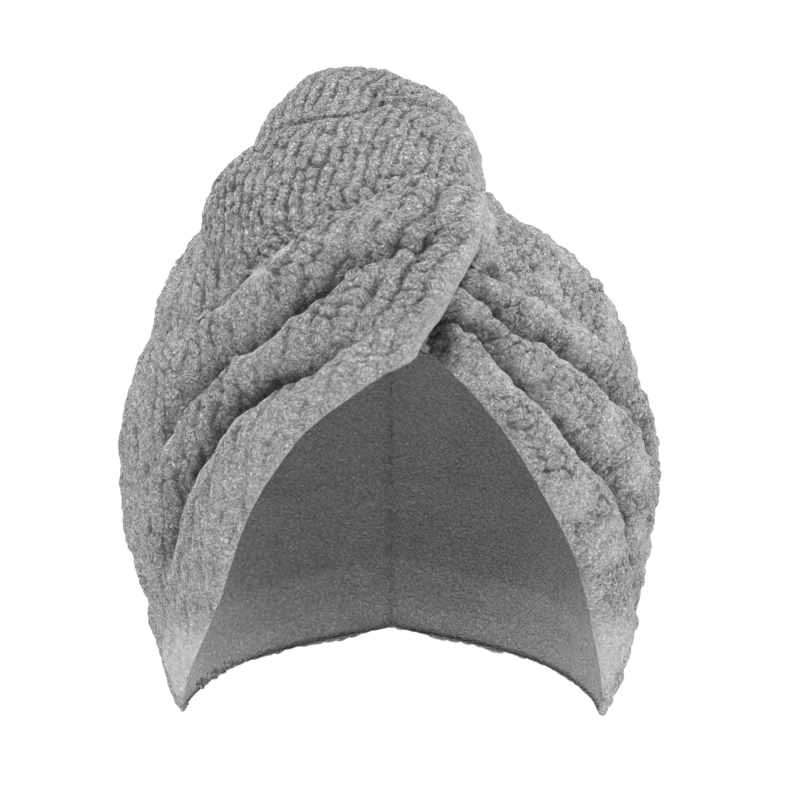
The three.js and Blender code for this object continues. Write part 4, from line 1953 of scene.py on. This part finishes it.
RIGHT_HALF = HoodHalf(
    name="right_hood_cloth",
    node="right_panel",
    side=Side.RIGHT,
    azimuths=(0, 6, 15, 25, 35, 45, 55, 65, 75, 90, 110, 140, 180),
    folds=(
        Fold("rim", 4, (44.5, 44.5, 36, 17.5, -3.5, -20.5, -37.5, -56, -69, -79, -75, -65, -54),
             Quarters(5.5, 9, 6.5), Quarters(11, 12, 9.5), 30),
        Fold("brow_fold", 5, (58, 57, 51, 35, 21, 7, -4, -20, -36, -50, -52, -42, -30),
             Quarters(5.5, 8.5, 8), Quarters(13, 12, 10.5), 51, Quarters(1.3, 0.8, 0.2)),
        Fold("temple_fold", 4, (66, 64, 60, 51.5, 46, 38, 30, 22, 9, -6, -12, -8, -2),
             Quarters(5.5, 9.5, 8.5), Quarters(12, 12.5, 11), 60, Quarters(1.5, 0.9, 0.2)),
        Fold("upper_fold", 2, (75, 73, 69, 65, 60, 55, 48.5, 41, 34, 27, 26, 34, 48),
             Quarters(7.5, 9.5, 9), Quarters(10.5, 11.5, 11), 69, Quarters(1.3, 0.6, 0.2)),
        Fold("dome", 0, (100, 100, 99, 97, 95, 93, 92, 91, 90, 90, 90, 92, 96),
             Quarters(8, 9.5, 10), Quarters(8, 9.5, 10.5), 54),
    ),
    rises=(Rise(12, 8, 29, 30, 78, 92, 150),),
    chart=Chart(lean=-0.85, fan=0.0032),
    back_chart=Chart(lean=0.4, fan=0.0034, centre=180),
    pile=Pile(row_pitch=4.5, tuft_pitch=4.2, stray_across=0.8, stray_along=0.8, row_crack=0.3, seed=5),
    calm_patches=0.45,
    trim=2.4,
    flat=(0.25, 0.3),
    cloth_area=0.055,
    neighbours=("left_panel", "twisted_tail"),
    presses=(Press(-1.6, 85, 24, -46, 8), Press(-1.4, 85, 24, -2, 8)),
)

TAIL = TwistedTail(
    name="tail_cloth",
    node="twisted_tail",
    sections=(
        Section(20, 12, 76, 30, 14, 10, 8),
        Section(28, 14, 76, 60, 18, 24, 14),
        Section(36, 12, 73, 69, 23, 37, 20),
        Section(45, 5, 76, 68, 31, 39.5, 24),
        Section(55, -4, 80, 60, 38, 40, 26),
        Section(65, -8, 78, 47, 41, 42, 26),
        Section(76, -9, 76, 41, 41, 42.5, 24),
        Section(90, -8, 76, 40, 40, 40, 22),
        Section(106, -8, 76, 40, 40, 36.5, 22),
        Section(126, -6, 81, 38, 38, 31, 22),
        Section(146, -3, 87, 34, 34, 26, 22),
        Section(166, -1, 96, 28, 28, 21, 20),
        Section(183, 0, 106, 22, 22, 16, 18),
        Section(196, 0, 112, 14, 14, 11.5, 14),
        Section(203, 0, 115, 8, 8, 7, 10),
    ),
    twist=Twist(),
    pile=Pile(seed=9),
)


def report(piece: bpy.types.Object) -> None:
    """Logs a piece's name and how many vertices it has."""
    log.info("%s: %d vertices", piece.name, len(piece.data.vertices))


def main() -> None:
    """Builds and dresses the turban piece by piece, then the studio."""
    logging.basicConfig(level=logging.INFO, format="%(name)s: %(message)s")
    towel = TowelFinish()
    for half in (LEFT_HALF, RIGHT_HALF):
        cloth = half.build()
        half.dress(cloth, towel)
        report(cloth)
    tail = TAIL.build()
    TAIL.dress(tail, towel)
    report(tail)
    fastening = NapeFastening()
    button, loop = fastening.build(LEFT_HALF)
    fastening.dress(button, loop)
    report(button)
    report(loop)
    Studio().build()


if __name__ == "__main__":
    main()
